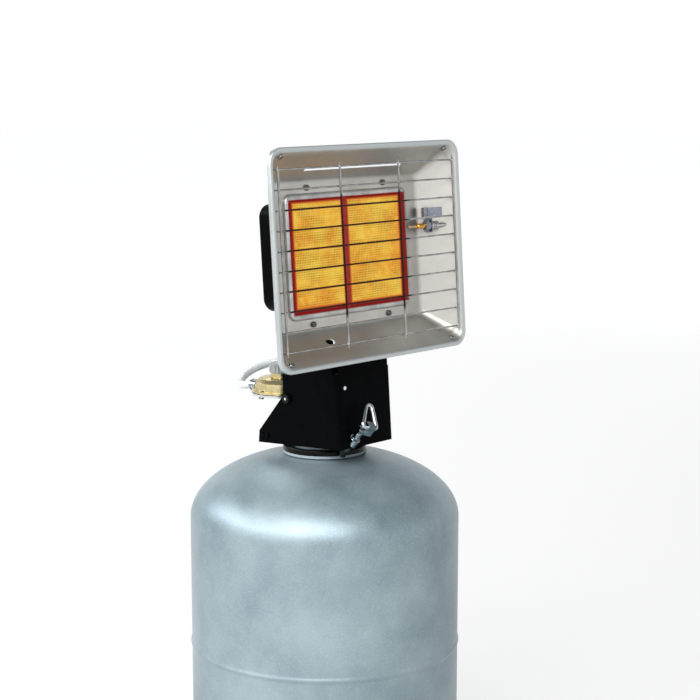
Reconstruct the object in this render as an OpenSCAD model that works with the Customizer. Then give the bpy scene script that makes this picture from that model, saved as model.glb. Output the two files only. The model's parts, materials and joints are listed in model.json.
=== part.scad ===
// Radiant gas heater on a gas bottle. Millimetres, +Z up, the head faces -Y.
// Origin: centre of the bottle's foot, on the surface it stands on.

/* [Gas bottle] */
// Outside diameter of the bottle
bottle_d = 300; // [240:1:360]
// Length of the straight wall between the two domes
wall_h = 285; // [120:1:420]
// Thickness of the bottle's steel
bottle_t = 3; // [2:0.5:5]
// Height of the bottom dome above the surface
foot_lift = 20; // [12:1:40]
// Diameter of the foot ring at its outside
foot_d = 245; // [200:1:245]
// Outside diameter of the threaded neck collar
collar_d = 80; // [70:1:90]
// Height of the neck collar above the top of the dome
collar_h = 26; // [20:1:30]

/* [Bracket] */
// Thickness of the bracket's sheet
sheet = 2; // [1.5:0.5:3]
// Depth of the bracket's side panels at the bottom
side_depth = 127; // [110:1:135]
// Height of the bracket's top edge above the top of the dome
bracket_top = 124; // [112:1:125]
// Height of the tilt pivot above the top of the dome
pivot_z = 61; // [54:1:64]
// Lean of the clamped heater, in degrees
lean = 4; // [0:0.5:5]
// Diameter of the pivot bolts
pivot_bolt_d = 6; // [5:1:8]

/* [Clamp] */
// Diameter of the clamp screw
clamp_d = 8; // [6:1:8]
// Slope of the clamp screw, in degrees
clamp_slope = 47; // [40:1:50]
// Thickness of the loop handle's rod
loop_rod = 5; // [4:0.5:5.5]

/* [Heater head] */
// Width over the reflector's rolled rim
rim_w = 294; // [280:1:298]
// Height over the reflector's rolled rim
rim_h = 231; // [222:1:245]
// Depth of the reflector from rim to floor
reflector_depth = 38; // [32:1:42]
// Width of the reflector's floor
floor_w = 228; // [215:1:236]
// Height of the reflector's floor
floor_h = 158; // [150:1:166]
// Thickness of the reflector's sheet
skin = 1; // [0.8:0.1:1.5]
// Width of one ceramic plaque
plaque_w = 92; // [80:1:92]
// Height of the ceramic plaques
plaque_h = 126; // [110:1:128]
// Level wires in the guard
guard_rows = 10; // [8:1:11]
// Diameter of the guard's level wires
wire_d = 2; // [1.6:0.1:3]
// Depth of the burner housing behind the reflector's floor
housing_depth = 40; // [36:1:44]

/* [Gas line] */
// Height of the regulator's ports above the top of the dome
port_z = 61; // [58:0.5:66]
// Diameter of the regulator's flange
regulator_d = 66; // [54:1:68]
// Outside diameter of the hose
hose_d = 9; // [8:0.5:10]

/* [Hidden] */
$fn = 48;

gap = 0.3;        // seat clearance between touching pieces
run = 0.06;       // radial running clearance of a turning piece

// ---- bottle ----
bottle_r = bottle_d / 2;
dome_h = bottle_r / 2;                      // two-to-one elliptical dome
wall_low = foot_lift + dome_h;
wall_top = wall_low + wall_h;
neck_z = wall_top + dome_h;                 // top of the dome, where the neck stands
dome_steps = 18;
bead = 1.2;                                 // height of the girth weld
bung_r = 16;
bung_flange_r = 22;
valve_shank_r = 12.9;
collar_r = collar_d / 2;
collar_wall = 7;
seat_r = collar_r + 7;
seat_top = 7;

// ---- bracket, in the leaned frame: x, y back, z up from the top of the dome ----
panel_in = collar_r + 0.4;                  // half width between the side panels
panel_out = panel_in + sheet;
front_y = -66;                              // outer face of the front panel
rear_y = front_y + side_depth;
bottom_z = 9;
bend_r = 5;
pivot_y = 11;
notch_w = 5.5;
notch_z = 91.5;
stop_x = 7.4 - panel_in;
stop_z = 75.8;
strap_y = collar_r + 0.6;

// ---- yoke ----
yoke_out = panel_in - gap - 1.4;            // the friction washers fill the rest
yoke_t = 1.8;
yoke_in = yoke_out - yoke_t;
pivot_hole_r = pivot_bolt_d / 2 + run;

// ---- head, in its own frame: x, y back from the rim plane, z up from the rim's centre ----
rim_y = -52.1 - reflector_depth;              // the burner stays where it is when the depth changes
head_z = 219;
flange = 5;                                 // width of the rim's flat face
mouth_w = rim_w - 2 * flange;
mouth_h = rim_h - 2 * flange;
mouth_r = 12;
floor_r = 7;
rim_roll = 5;                               // how far the rim's edge turns back
frame_lip = 3.6;                            // burner frame stands this far off the floor
burner_gap = 4.6;                           // strip between the plaques
burner_w = 2 * plaque_w + burner_gap;
frame_w = burner_w + 1.6;
frame_h = plaque_h + 7;
frame_open_w = burner_w - 8;
frame_open_h = plaque_h - 6;
opening_w = burner_w - 6;                   // hole in the reflector's floor
opening_h = plaque_h - 4;
floor_back = reflector_depth + skin;
plaque_y = floor_back + 2;
plaque_t = 13;
housing_w = burner_w - 0.6;
housing_h = plaque_h - 12;
housing_r = 14;
housing_t = 1.5;
housing_back = floor_back + housing_depth;
housing_bottom = head_z - housing_h / 2;
gas_y = housing_back - 12;                  // axis of mixing tube, injector and gas valve
gas_z = -28;
screw_x = 59.6;
screw_z = 72.2;
guard_y = 2.8;
guard_pitch = 20.7;
upright_d = 2.4;
upright_x = [-rim_w / 2 + 11, -45.6, 45.6, rim_w / 2 - 11];
guard_half = (guard_rows - 1) / 2 * guard_pitch;
upright_half = guard_half + 5;

// side walls of the reflector: half width and half height at a depth
function wall_x(y) = mouth_w / 2 + (floor_w - mouth_w) / 2 * y / reflector_depth;
function wall_z(y) = mouth_h / 2 + (floor_h - mouth_h) / 2 * y / reflector_depth;
wall_slope_z = atan2((mouth_h - floor_h) / 2, reflector_depth);

// ---- gas line ----
regulator_r = regulator_d / 2;
body_r = regulator_r - 4;
flange_low = port_z - 7.7;
outlet_r = 10.9;
outlet_end = 27.5;
nut_y = 17;
nut_len = 17;
regulator_y = nut_y + nut_len + 2 + regulator_r;
regulator_out = [0, regulator_y + regulator_r, port_z - 3.5];
hose_r = hose_d / 2;
nipple_r = 3.1;
head_inlet = [118, rim_y + gas_y, housing_bottom + 4];      // in the leaned frame

// route of the hose, above the top of the dome: a smooth curve drawn by control points that
// stand off the regulator's outlet, then off the head's inlet
function upright(p) = [p[0], p[1] * cos(lean) + p[2] * sin(lean), p[2] * cos(lean) - p[1] * sin(lean)];
function below_inlet(h) = upright(head_inlet - [0, 0, h]);
hose_pull = [
    for (q = [[0, 2, 0], [0, 10, 0], [0, 18, 0], [1.4, 31.5, -3.7], [13.1, 50.5, -5.1], [38, 63.9, 4.7],
        [74.5, 49.8, 16.1]]) regulator_out + q,
    for (q = [[-19.9, 110, -85.1], [-6.9, 46.1, -71.6], [-1.1, 5.3, -48.9]]) below_inlet(0) + q,
    below_inlet(24.5), below_inlet(14.5), below_inlet(4.5)];
function pulled(c, i, t) = (pow(1 - t, 3) * c[i] + (3 * pow(t, 3) - 6 * t * t + 4) * c[i + 1]
    + (1 + 3 * t + 3 * t * t - 3 * pow(t, 3)) * c[i + 2] + pow(t, 3) * c[i + 3]) / 6;
hose_route = concat([regulator_out + [0, 4, 0]],
    [for (i = [0:len(hose_pull) - 4]) for (j = [0:4]) pulled(hose_pull, i, j / 5)],
    [below_inlet(14.5), below_inlet(1.7)]);

// ---- thermocouple: through the right wall at a depth and height, turned towards the burner ----
tc_depth = 16.3;
tc_z = 20.9;
wall_turn = atan2((mouth_w - floor_w) / 2, reflector_depth) - 90;
tc_turn = wall_turn + 30.41565;             // so the rod meets the wall at one angle
tc_out = 8;                                 // how far the rod stands out behind the wall
tc_end = [wall_x(tc_depth) + tc_out * cos(tc_turn), tc_depth + tc_out * sin(tc_turn), tc_z];
valve_port = [110, gas_y, gas_z];
// route of the thermocouple's capillary, in the head's frame
capillary_route = [
    tc_end + [0.3, -0.1, 0], tc_end + [3.6, -1.2, 0.1], tc_end + [6, 1.6, 0], tc_end + [6.2, 9, -1],
    tc_end + [5.7, 20, -3], tc_end + [2, 36, -8], valve_port + [22, 1, 31], valve_port + [14, 15, 20],
    valve_port + [6, 23, 9], valve_port + [1, 24, 2], valve_port + [0, 20, 0], valve_port + [0, 15.3, 0]
];

// ---- helpers ----
function unit(v) = v / norm(v);
function arc(c, r, a0, a1, n) = [for (i = [0:n]) c + r * [cos(a0 + (a1 - a0) * i / n), sin(a0 + (a1 - a0) * i / n)]];
// rounded rectangle, counter-clockwise
function rrect(w, h, r, n = 6) = concat(
    arc([w / 2 - r, h / 2 - r], r, 0, 90, n), arc([-w / 2 + r, h / 2 - r], r, 90, 180, n),
    arc([-w / 2 + r, -h / 2 + r], r, 180, 270, n), arc([w / 2 - r, -h / 2 + r], r, 270, 360, n));

module leaned() translate([0, 0, neck_z]) rotate([-lean, 0, 0]) children();
module head() leaned() translate([0, rim_y, head_z]) children();
module neck() translate([0, 0, neck_z]) children();
module along_y() rotate([-90, 0, 0]) children();
module along_x() rotate([0, 90, 0]) children();
module both_sides() {
    children();
    mirror([1, 0, 0]) children();
}
module hex(af, h) cylinder(d = af / cos(30), h = h, $fn = 6);
module ring(r_out, r_in, h) difference() {
    cylinder(r = r_out, h = h);
    translate([0, 0, -1]) cylinder(r = r_in, h = h + 2);
}

// skins a stack of rounded rectangles [w, h, r, depth]; open stacks get a cap at each end
module loft(rings, closed = false, n = 6) {
    m = 4 * (n + 1);
    k = len(rings);
    points = [for (q = rings) for (p = rrect(q[0], q[1], q[2], n)) [p[0], q[3], p[1]]];
    sides = [for (i = [0:(closed ? k - 1 : k - 2)]) for (j = [0:m - 1])
        let (a = i * m, b = ((i + 1) % k) * m, j2 = (j + 1) % m)
        each [[a + j, a + j2, b + j2], [a + j, b + j2, b + j]]];
    caps = closed ? [] : [[for (j = [m - 1:-1:0]) j], [for (j = [0:m - 1]) (k - 1) * m + j]];
    polyhedron(points, concat(sides, caps), convexity = 8);
}

// round tube swept along a route; side is a direction that the route never takes
module sweep(route, r, side, sides = 10) {
    k = len(route);
    d = [for (i = [0:k - 1]) unit(route[min(i + 1, k - 1)] - route[max(i - 1, 0)])];
    u = [for (i = [0:k - 1]) unit(cross(d[i], side))];
    points = [for (i = [0:k - 1]) for (j = [0:sides - 1])
        route[i] + r * (u[i] * cos(360 * j / sides) + cross(d[i], u[i]) * sin(360 * j / sides))];
    walls = [for (i = [0:k - 2]) for (j = [0:sides - 1]) let (a = i * sides, j2 = (j + 1) % sides)
        each [[a + j, a + sides + j, a + sides + j2], [a + j, a + sides + j2, a + j2]]];
    caps = [[for (j = [0:sides - 1]) j], [for (j = [sides - 1:-1:0]) (k - 1) * sides + j]];
    polyhedron(points, concat(walls, caps), convexity = 6);
}

// ---- gas bottle ----
function dome(r, h, z, a0, a1) = [for (i = [0:dome_steps]) let (a = a0 + (a1 - a0) * i / dome_steps)
    [r * cos(a), z + h * sin(a)]];

module bottle_shell() color("#a3b5be") {
    mid = wall_low + wall_h / 2;
    r_in = bottle_r - bottle_t;
    h_in = dome_h - bottle_t;
    a_hole = acos(bung_r / bottle_r);
    a_hole_in = acos(bung_r / r_in);
    rotate_extrude($fn = 96) polygon(concat(
        [[0, foot_lift]],
        [for (p = dome(bottle_r, dome_h, wall_low, -90, 0)) if (p[0] > 1) p],
        [[bottle_r, mid - 5], [bottle_r + bead, mid - 2], [bottle_r + bead, mid + 2], [bottle_r, mid + 5]],
        dome(bottle_r, dome_h, wall_top, 0, a_hole),
        dome(r_in, h_in, wall_top, a_hole_in, 0),
        [for (p = dome(r_in, h_in, wall_low, 0, -90)) if (p[0] > 1) p],
        [[0, foot_lift + bottle_t]]));
}

// height of the bottle's outside above the surface at radius r, on the bottom dome
function bottom_at(r) = wall_low - dome_h * sqrt(1 - pow(r / bottle_r, 2));
function top_at(r) = wall_top + dome_h * sqrt(1 - pow(r / bottle_r, 2));

module foot_ring() color("#9aabb3") {
    r = foot_d / 2;
    t = 2.5;
    top = bottom_at(r - t) - gap;
    difference() {
        rotate_extrude($fn = 96) polygon([[r - 8, 0], [r - 2, 0], [r, 2], [r, top], [r - t, top], [r - t, 3], [r - 8, 3]]);
        for (a = [0:60:300]) rotate([0, 0, a]) translate([0, 0, 20]) along_x() cylinder(d = 14, h = bottle_r);
    }
}

module neck_bung() color("#9aabb3") neck() difference() {
    union() {
        translate([0, 0, -14]) cylinder(r = bung_r - gap, h = 15);
        translate([0, 0, gap]) cylinder(r = bung_flange_r, h = 5);
    }
    translate([0, 0, -15]) cylinder(r = valve_shank_r, h = 25);
}

module neck_collar() color("#a3b5be") {
    base = top_at(collar_r - collar_wall) + gap - neck_z;
    neck() difference() {
        translate([0, 0, base]) ring(collar_r, collar_r - collar_wall, collar_h - base);
        for (a = [45, 225]) rotate([0, 0, a]) translate([0, 0, 0]) along_x() cylinder(d = 8, h = collar_d);
    }
}

module seat_ring() color("#101214") {
    base = top_at(collar_r + 0.4) + gap - neck_z;
    neck() rotate_extrude($fn = 96) polygon([
        [collar_r + 0.4, base], [seat_r, base], [seat_r, seat_top - 2], [seat_r - 2, seat_top],
        [collar_r + 0.4, seat_top]]);
}

// ---- bottle valve ----
wheel_z = port_z + 27;
gland_z = port_z + 14;
spindle_r = 4;
module valve_body() color("#b9a36a") neck() difference() {
    union() {
        translate([0, 0, -12]) cylinder(r = valve_shank_r - 0.1, h = 20);
        translate([0, 0, 6]) hex(30, 12);
        translate([0, 0, 17]) cylinder(r = 14, h = gland_z - 21);
        translate([0, 0, gland_z - 5]) cylinder(r = 9, h = 5);
        translate([0, 0, port_z]) along_y() cylinder(r = outlet_r, h = outlet_end);
    }
    translate([0, 0, port_z]) along_y() cylinder(r = 4.5, h = outlet_end + 1);
    translate([0, 0, port_z - 9]) cylinder(r = spindle_r + run, h = 30);
    translate([0, 0, -13]) cylinder(r = 4, h = port_z - 1);
    translate([0, 0, 38]) rotate([90, 0, 0]) cylinder(r = 6, h = 20);
}
module valve_gland() color("#c3ae74") neck() translate([0, 0, gland_z + gap]) difference() {
    hex(20, 7);
    translate([0, 0, -1]) cylinder(r = spindle_r + run, h = 9);
}
module valve_spindle() color("#b8bbbd") neck() difference() {
    union() {
        translate([0, 0, port_z - 7]) cylinder(r = spindle_r, h = wheel_z + 11 - port_z);
        translate([0, 0, wheel_z + 4]) cylinder(r = 2.5, h = 11);
    }
}
wheel_r = 27;
module valve_handwheel() color("#c0392b") neck() translate([0, 0, wheel_z]) difference() {
    union() {
        rotate_extrude() polygon([[2.5 + gap, 4 + gap], [9, 4 + gap], [wheel_r - 8, 1.5], [wheel_r - 2, 0],
            [wheel_r, 2], [wheel_r, 9], [wheel_r - 2, 10.5], [wheel_r - 5, 9], [wheel_r - 6, 5.5], [9, 9], [2.5 + gap, 9]]);
    }
    for (a = [0:60:300]) rotate([0, 0, a]) translate([wheel_r + 6, 0, -1]) cylinder(r = 9, h = 13);
}
module handwheel_nut() color("#b8bbbd") neck() translate([0, 0, wheel_z + 9 + gap]) difference() {
    hex(8, 4);
    translate([0, 0, -1]) cylinder(r = 2.5 + run, h = 8);
}
module relief_valve() color("#b9a36a") neck() translate([0, -8.5, 38]) rotate([90, 0, 0]) union() {
    cylinder(r = 6 - 0.1, h = 8);
    translate([0, 0, 5.7]) hex(15, 5);
    translate([0, 0, 10]) cylinder(r = 6, h = 6);
}
module outlet_seal() color("#22282a") neck() translate([0, outlet_end + 0.05, port_z]) along_y() ring(8, 4.5, 1.4);
stem_y = outlet_end + 1.5;
module inlet_stem() color("#b9a36a") neck() translate([0, stem_y, port_z]) along_y() difference() {
    union() {
        cylinder(r = outlet_r - 0.9, h = 2.4);
        cylinder(r = 5, h = regulator_y - body_r + 0.4 - stem_y);
    }
    translate([0, 0, -1]) cylinder(r = 2.5, h = 30);
}
module union_nut() color("#c3ae74") neck() translate([0, nut_y, port_z]) along_y() difference() {
    hex(28, nut_len);
    translate([0, 0, -1]) cylinder(r = outlet_r + run, h = 1 + stem_y + 2.6 - nut_y);
    cylinder(r = 5 + run, h = nut_len + 1);
}

// ---- regulator ----
module regulator_body() color("#b9a36a") neck() translate([0, regulator_y, 0]) difference() {
    union() {
        rotate_extrude($fn = 64) polygon([[0, flange_low + 3.2], [regulator_r, flange_low + 3.2],
            [regulator_r, flange_low + 5.6], [body_r, flange_low + 5.6], [body_r - 0.5, port_z + 6.5],
            [body_r - 5, port_z + 10.5], [11, port_z + 12], [10.8, port_z + 16], [0, port_z + 16]]);
        translate([0, regulator_r - 8, regulator_out[2]]) along_y() cylinder(r = 5.5, h = 10);
        translate([0, -regulator_r - 0.5, port_z]) along_y() cylinder(r = 7, h = 9);
    }
    translate([0, -body_r - 6, port_z]) along_y() cylinder(r = 5.1, h = 6.5);
    cylinder(r = regulator_r + gap, h = flange_low + 3.2);
    translate([0, -regulator_r - 5, 0]) cylinder(r = 15, h = flange_low + 3.2);
    translate([0, regulator_r - 1.5, regulator_out[2]]) along_y() cylinder(r = nipple_r + 0.1, h = 10);
    flange_holes() cylinder(r = 1.3, h = 90, $fn = 16);
}
module flange_holes() for (a = [0:60:300]) rotate([0, 0, a]) translate([regulator_r - 2.1, 0, 0]) children();
module regulator_cover() color("#c9cccd") neck() translate([0, regulator_y, flange_low]) difference() {
    rotate_extrude($fn = 64) polygon([[0, -3], [15, -3], [20, 0], [regulator_r, 0], [regulator_r, 2.4], [18, 2.4],
        [13, -1], [0, -1]]);
    translate([0, 0, -4]) flange_holes() cylinder(r = 1.3, h = 9, $fn = 16);
}
module regulator_diaphragm() color("#2b2b2b") neck() translate([0, regulator_y, flange_low + 2.5]) cylinder(r = regulator_r - 4.8, h = 0.6);
module regulator_screws() color("#c9cccd") neck() translate([0, regulator_y, 0])
    translate([0, 0, flange_low - 2.4]) flange_holes() {
        cylinder(r = 1.2, h = 8.5, $fn = 24);
        hex(5.5, 2.3);
        translate([0, 0, 8.1]) cylinder(r = 1.8, h = 1.5, $fn = 24);
    }
knob_r = 13;
module regulator_knob() color("#8d9193") neck() translate([0, regulator_y, port_z + 16 + gap]) difference() {
    union() {
        cylinder(r = knob_r - 1, h = 11);
        translate([0, 0, 1.2]) cylinder(r = knob_r, h = 8.6);
    }
    for (a = [0:20:340]) rotate([0, 0, a]) translate([knob_r + 0.6, 0, 0]) cylinder(r = 1.5, h = 12, $fn = 16);
}
module outlet_nipple() color("#b9a36a") neck() translate(regulator_out + [0, gap, 0]) along_y() difference() {
    union() {
        cylinder(r = nipple_r, h = 11.6);
        translate([0, 0, 1.8]) hex(11, 1.6);
    }
    translate([0, 0, -1]) cylinder(r = 1.8, h = 20);
}

// ---- hose ----
module hose() color("#c9cfd1") neck() difference() {
    sweep(hose_route, hose_r, [0.6, -0.1, -0.8], 12);
    translate(regulator_out) along_y() cylinder(r = nipple_r + 0.1, h = 12.4);
}
module ferrule(length) {
    ring(hose_r + 2, hose_r + 0.15, length);
    for (z = [1.5, length - 3.1]) translate([0, 0, z]) ring(hose_r + 2.5, hose_r + 0.15, 1.6);
}
module hose_ferrule() color("#d9dcdd") neck() translate(regulator_out + [0, 4.2, 0]) along_y() ferrule(9.6);
module head_ferrule() color("#d9dcdd") leaned() translate(head_inlet - [0, 0, 16]) ferrule(14);
module hose_nut() color("#c3ae74") leaned() translate(head_inlet - [0, 0, 1.4]) difference() {
    union() {
        hex(17, 8);
        translate([0, 0, 7]) cylinder(r = 7, h = 3);
    }
    translate([0, 0, 2.6]) cylinder(r = 5 + run, h = 10);
}

// ---- bracket ----
module bracket_plan() difference() {
    union() {
        translate([-panel_out, front_y + bend_r]) square([2 * panel_out, side_depth - bend_r]);
        translate([-panel_out + bend_r, front_y]) square([2 * (panel_out - bend_r), bend_r + 1]);
        for (s = [-1, 1]) translate([s * (panel_out - bend_r), front_y + bend_r]) circle(r = bend_r);
    }
    translate([-panel_in, front_y + bend_r]) square([2 * panel_in, side_depth]);
    translate([-panel_in + bend_r - sheet, front_y + sheet]) square([2 * (panel_in - bend_r + sheet), bend_r + 1]);
    for (s = [-1, 1]) translate([s * (panel_out - bend_r), front_y + bend_r]) circle(r = bend_r - sheet);
}
module bracket_side() polygon([
    [front_y - 1, bottom_z], [rear_y, bottom_z], [rear_y - 2, 22.5], [21.5, pivot_z - 0.5], [18, pivot_z + 7],
    [16, bracket_top - 20], [6, bracket_top], [front_y - 1, bracket_top]]);
module bracket() color("#0b0d0e") leaned() difference() {
    intersection() {
        linear_extrude(bracket_top + 10) bracket_plan();
        translate([-100, 0, 0]) rotate([90, 0, 90]) linear_extrude(200) bracket_side();
    }
    translate([-60, pivot_y, pivot_z]) along_x() cylinder(r = pivot_hole_r, h = 120);
    translate([stop_x, front_y - 5, stop_z]) along_y() cylinder(r = 2.1, h = 12);
    for (s = [-1, 1]) translate([s * (panel_out - bend_r / 2 + 1) - notch_w / 2, front_y - 2, notch_z])
        cube([notch_w, 9, 60]);
    for (y = [47, 54]) translate([-60, y, 17]) along_x() cylinder(r = 2.1, h = 120);
    rotate([lean, 0, 0]) clamp_axis() translate([0, 0, bush_at - 10]) cylinder(r = bush_r + 0.1, h = bush_len + 20);
}
// strap behind the neck collar, with an ear riveted to each side panel
module collar_strap() color("#0b0d0e") leaned() difference() {
    union() {
        translate([-panel_in + gap, strap_y, 11]) cube([2 * (panel_in - gap), sheet, 12]);
        both_sides() translate([panel_in - gap - sheet, strap_y, 11]) cube([sheet, 18, 12]);
    }
    for (y = [47, 54]) translate([-60, y, 17]) along_x() cylinder(r = 2.1, h = 120);
}
module strap_rivets() color("#0b0d0e") leaned() both_sides() for (y = [47, 54]) translate([panel_out + 0.05, y, 17]) {
    along_x() cylinder(r = 3.4, h = 1.3, $fn = 24);
    translate([-6, 0, 0]) along_x() cylinder(r = 2, h = 6.5, $fn = 24);
}
stop_leg = 1.5;
module tilt_stop() color("#0b0d0e") leaned() difference() {
    union() {
        translate([stop_x - 5, front_y + sheet + 0.1, stop_z - 9]) cube([13, stop_leg, 13]);
        translate([stop_x - 5, front_y + sheet + 0.1, stop_z + 4 - stop_leg]) cube([13, 18, stop_leg]);
    }
    translate([stop_x, front_y - 5, stop_z]) along_y() cylinder(r = 2.1, h = 12);
}
module stop_screw() color("#d9dcdd") leaned() translate([stop_x, front_y - 0.05, stop_z]) {
    rotate([90, 0, 0]) cylinder(r = 3.4, h = 2);
    translate([0, -1, 0]) along_y() cylinder(r = 1.9, h = 7);
}

// ---- tilt pivot ----
module pivot_bolts() color("#17191a") leaned() both_sides() translate([panel_out + 0.1, pivot_y, pivot_z]) {
    along_x() hex(pivot_bolt_d * 1.6, 4);
    translate([-14, 0, 0]) along_x() cylinder(d = pivot_bolt_d, h = 15);
}
module pivot_washers() color("#3a3a38") leaned() both_sides() translate([yoke_out + 0.2, pivot_y, pivot_z])
    along_x() ring(10, pivot_bolt_d / 2 + run, panel_in - yoke_out - 0.4);
module pivot_nuts() color("#d9dcdd") leaned() both_sides() translate([yoke_in - 0.1, pivot_y, pivot_z])
    rotate([0, -90, 0]) difference() {
        hex(pivot_bolt_d * 1.6, 5);
        translate([0, 0, -1]) cylinder(d = pivot_bolt_d + 0.1, h = 8);
    }

// ---- clamp ----
clamp_x = -22;
bush_r = 6;
pad_y = -seat_r + 0.2;
pad_z = 2.4;
// frame of the clamp screw above the neck: its tip at the origin, z along it, outwards and up
module clamp_axis() translate([clamp_x, pad_y, pad_z]) rotate([90 - clamp_slope, 0, 0]) children();
module at_clamp() neck() clamp_axis() children();
bush_at = 20;
bush_len = 10.5;
collar_at = 42;
eye_at = 50;
module clamp_bush() color("#d9dcdd") at_clamp() translate([0, 0, bush_at]) ring(bush_r - 0.05, clamp_d / 2 + run, bush_len);
eye_t = 8.4;
eye_x = 6.5;        // the eye stands beside the screw's axis
eye_turn = 25;
pad_h = 8.8;
pin_r = 2.5;
module clamp_screw() color("#d9dcdd") at_clamp() difference() {
    union() {
        translate([0, 0, pad_h + gap]) cylinder(d = clamp_d, h = collar_at - pad_h);
        rotate([0, 0, -eye_turn]) {
            translate([-5, -4.5, collar_at]) cube([eye_x + eye_t / 2 + 5, 9, 4.2]);
            translate([eye_x - eye_t / 2, -4.5, collar_at]) cube([eye_t, 9, eye_at + 5 - collar_at]);
        }
    }
    rotate([0, 0, -eye_turn]) translate([-20, 0, eye_at]) along_x() cylinder(r = loop_rod / 2 + run, h = 40);
    translate([0, 0, pad_h]) cylinder(r = pin_r + run, h = 6.5);
}
module clamp_pad() color("#17191a") at_clamp() {
    cylinder(r1 = 3, r2 = 4.2, h = 1.5);
    translate([0, 0, 1.5]) cylinder(r = 4.2, h = pad_h - 1.5);
    translate([0, 0, pad_h - 0.1]) cylinder(r = pin_r, h = 6);
}
// loop handle: a rounded triangle whose straight base runs through the eye
loop_w = 8;
loop_h = 27;
loop_lean = 72;
function loop_path() = concat(
    [[-loop_w + 3.3, 0]], arc([-loop_w + 3.6, 3.6], 3.6, 250, 165, 5), arc([0, loop_h - 4], 4, 160, 20, 8),
    arc([loop_w - 3.6, 3.6], 3.6, 15, -70, 5), [[loop_w - 3.3, 0]]);
module clamp_handle() color("#d9dcdd") at_clamp() rotate([0, 0, -eye_turn]) translate([eye_x, 0, eye_at])
    rotate([-loop_lean, 0, 0]) {
        sweep([for (p = loop_path()) [p[0], 0, p[1]]], loop_rod / 2, [0, 1, 0], 12);
        translate([-loop_w + 3.1, 0, 0]) along_x() cylinder(d = loop_rod, h = 2 * loop_w - 6.2);
    }

// ---- yoke between bracket and head ----
arm_tip_r = 12;
web_y = [rim_y + plaque_y + plaque_t + 4.2, rim_y + housing_back - 3];
web_screw_y = (web_y[0] + web_y[1]) / 2;
function web_z() = housing_bottom - gap;
module arm_side() difference() {
    union() {
        polygon([[web_y[0], web_z()], [web_y[0], 153.8], [-47, 153.8], [-47, 139], [-58, 128],
            [-58, stop_z + 4.4], [-24, stop_z + 4.4], [-1, pivot_z - 2],
            [pivot_y + arm_tip_r - 0.5, pivot_z + 3], [web_y[1] + 12, 140], [web_y[1], web_z()]]);
        translate([pivot_y, pivot_z]) circle(r = arm_tip_r);
    }
    translate([pivot_y, pivot_z]) circle(r = pivot_hole_r);
}
module yoke() color("#0b0d0e") leaned() difference() {
    union() {
        both_sides() translate([yoke_in, 0, 0]) rotate([90, 0, 90]) linear_extrude(yoke_t) arm_side();
        translate([-yoke_out, web_y[0], web_z() - yoke_t]) cube([2 * yoke_out, web_y[1] - web_y[0], yoke_t]);
    }
    for (x = [-22, 22]) translate([x, web_screw_y, web_z() - 5]) cylinder(r = 2.3, h = 10);
}
module yoke_screws() color("#d9dcdd") leaned() for (x = [-22, 22]) translate([x, web_screw_y, web_z() - yoke_t - 0.1]) {
    translate([0, 0, -2.4]) cylinder(r = 4, h = 2.4);
    translate([0, 0, -1]) cylinder(r = 2.1, h = 7.5);
}

// ---- reflector ----
module reflector() color("#8f9490") head() difference() {
    loft([
        [opening_w, opening_h, 5, reflector_depth],
        [floor_w, floor_h, floor_r, reflector_depth],
        [mouth_w, mouth_h, mouth_r, 1],
        [mouth_w + 1, mouth_h + 1, mouth_r + 0.5, 0],
        [rim_w - 2, rim_h - 2, mouth_r + flange - 1, 0],
        [rim_w, rim_h, mouth_r + flange, 1],
        [rim_w, rim_h, mouth_r + flange, rim_roll],
        [rim_w - 2, rim_h - 2, mouth_r + flange - 1, rim_roll],
        [rim_w - 2, rim_h - 2, mouth_r + flange - 1, 1.6],
        [mouth_w + 2.6, mouth_h + 2.6, mouth_r + 1.2, 1.6],
        [floor_w + 2.4, floor_h + 2.4, floor_r + 1.2, floor_back],
        [opening_w, opening_h, 5, floor_back]], closed = true);
    // slot in the top wall
    translate([0, 24, wall_z(24)]) rotate([-wall_slope_z, 0, 0]) linear_extrude(12, center = true) {
        square([146, 5.4], center = true);
        for (s = [-1, 1]) translate([s * 73, 0]) circle(d = 5.4);
    }
    // lighting hole in the bottom wall
    translate([-50, 23.5, -wall_z(23.5)]) rotate([wall_slope_z, 0, 0]) linear_extrude(12, center = true) {
        square([5, 8], center = true);
        for (s = [-1, 1]) translate([s * 2.5, 0]) circle(d = 8);
    }
    // thermocouple hole in the right wall
    at_thermocouple() translate([0, 0, -8]) cylinder(r = tc_r + 0.4, h = 30);
    for (x = [-1, 1]) for (z = [-1, 1]) {
        translate([x * screw_x, reflector_depth - 2, z * screw_z]) along_y() cylinder(r = 1.7, h = 6, $fn = 16);
        translate([x * 127, 5.2, z * wall_z(5.2)]) rotate([z > 0 ? 180 - wall_slope_z : wall_slope_z, 0, 0])
            cylinder(r = 1.7, h = 12, center = true, $fn = 16);
    }
}

module guard_cross_wires() color("#d9dcdd") head() for (i = [0:guard_rows - 1])
    translate([-wall_x(guard_y) + 2 * gap, guard_y + 0.4, (i - (guard_rows - 1) / 2) * guard_pitch])
        along_x() cylinder(d = wire_d, h = 2 * (wall_x(guard_y) - 2 * gap), $fn = 16);
upright_y = guard_y + 0.4 - wire_d / 2 - upright_d / 2 + 0.05;
module guard_upright_wires() color("#d9dcdd") head() for (x = upright_x)
    translate([x, upright_y - 0.1, -upright_half]) cylinder(d = upright_d, h = 2 * upright_half, $fn = 16);
module guard_screws() color("#d9dcdd") head() for (x = [-1, 1]) for (z = [-1, 1])
    translate([x * 127, 5.2, z * wall_z(5.2)]) rotate([z > 0 ? 180 - wall_slope_z : wall_slope_z, 0, 0]) {
        translate([0, 0, 0.1]) cylinder(r = 3, h = 1.6, $fn = 24);
        translate([0, 0, -4]) cylinder(r = 1.5, h = 5, $fn = 24);
    }

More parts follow.
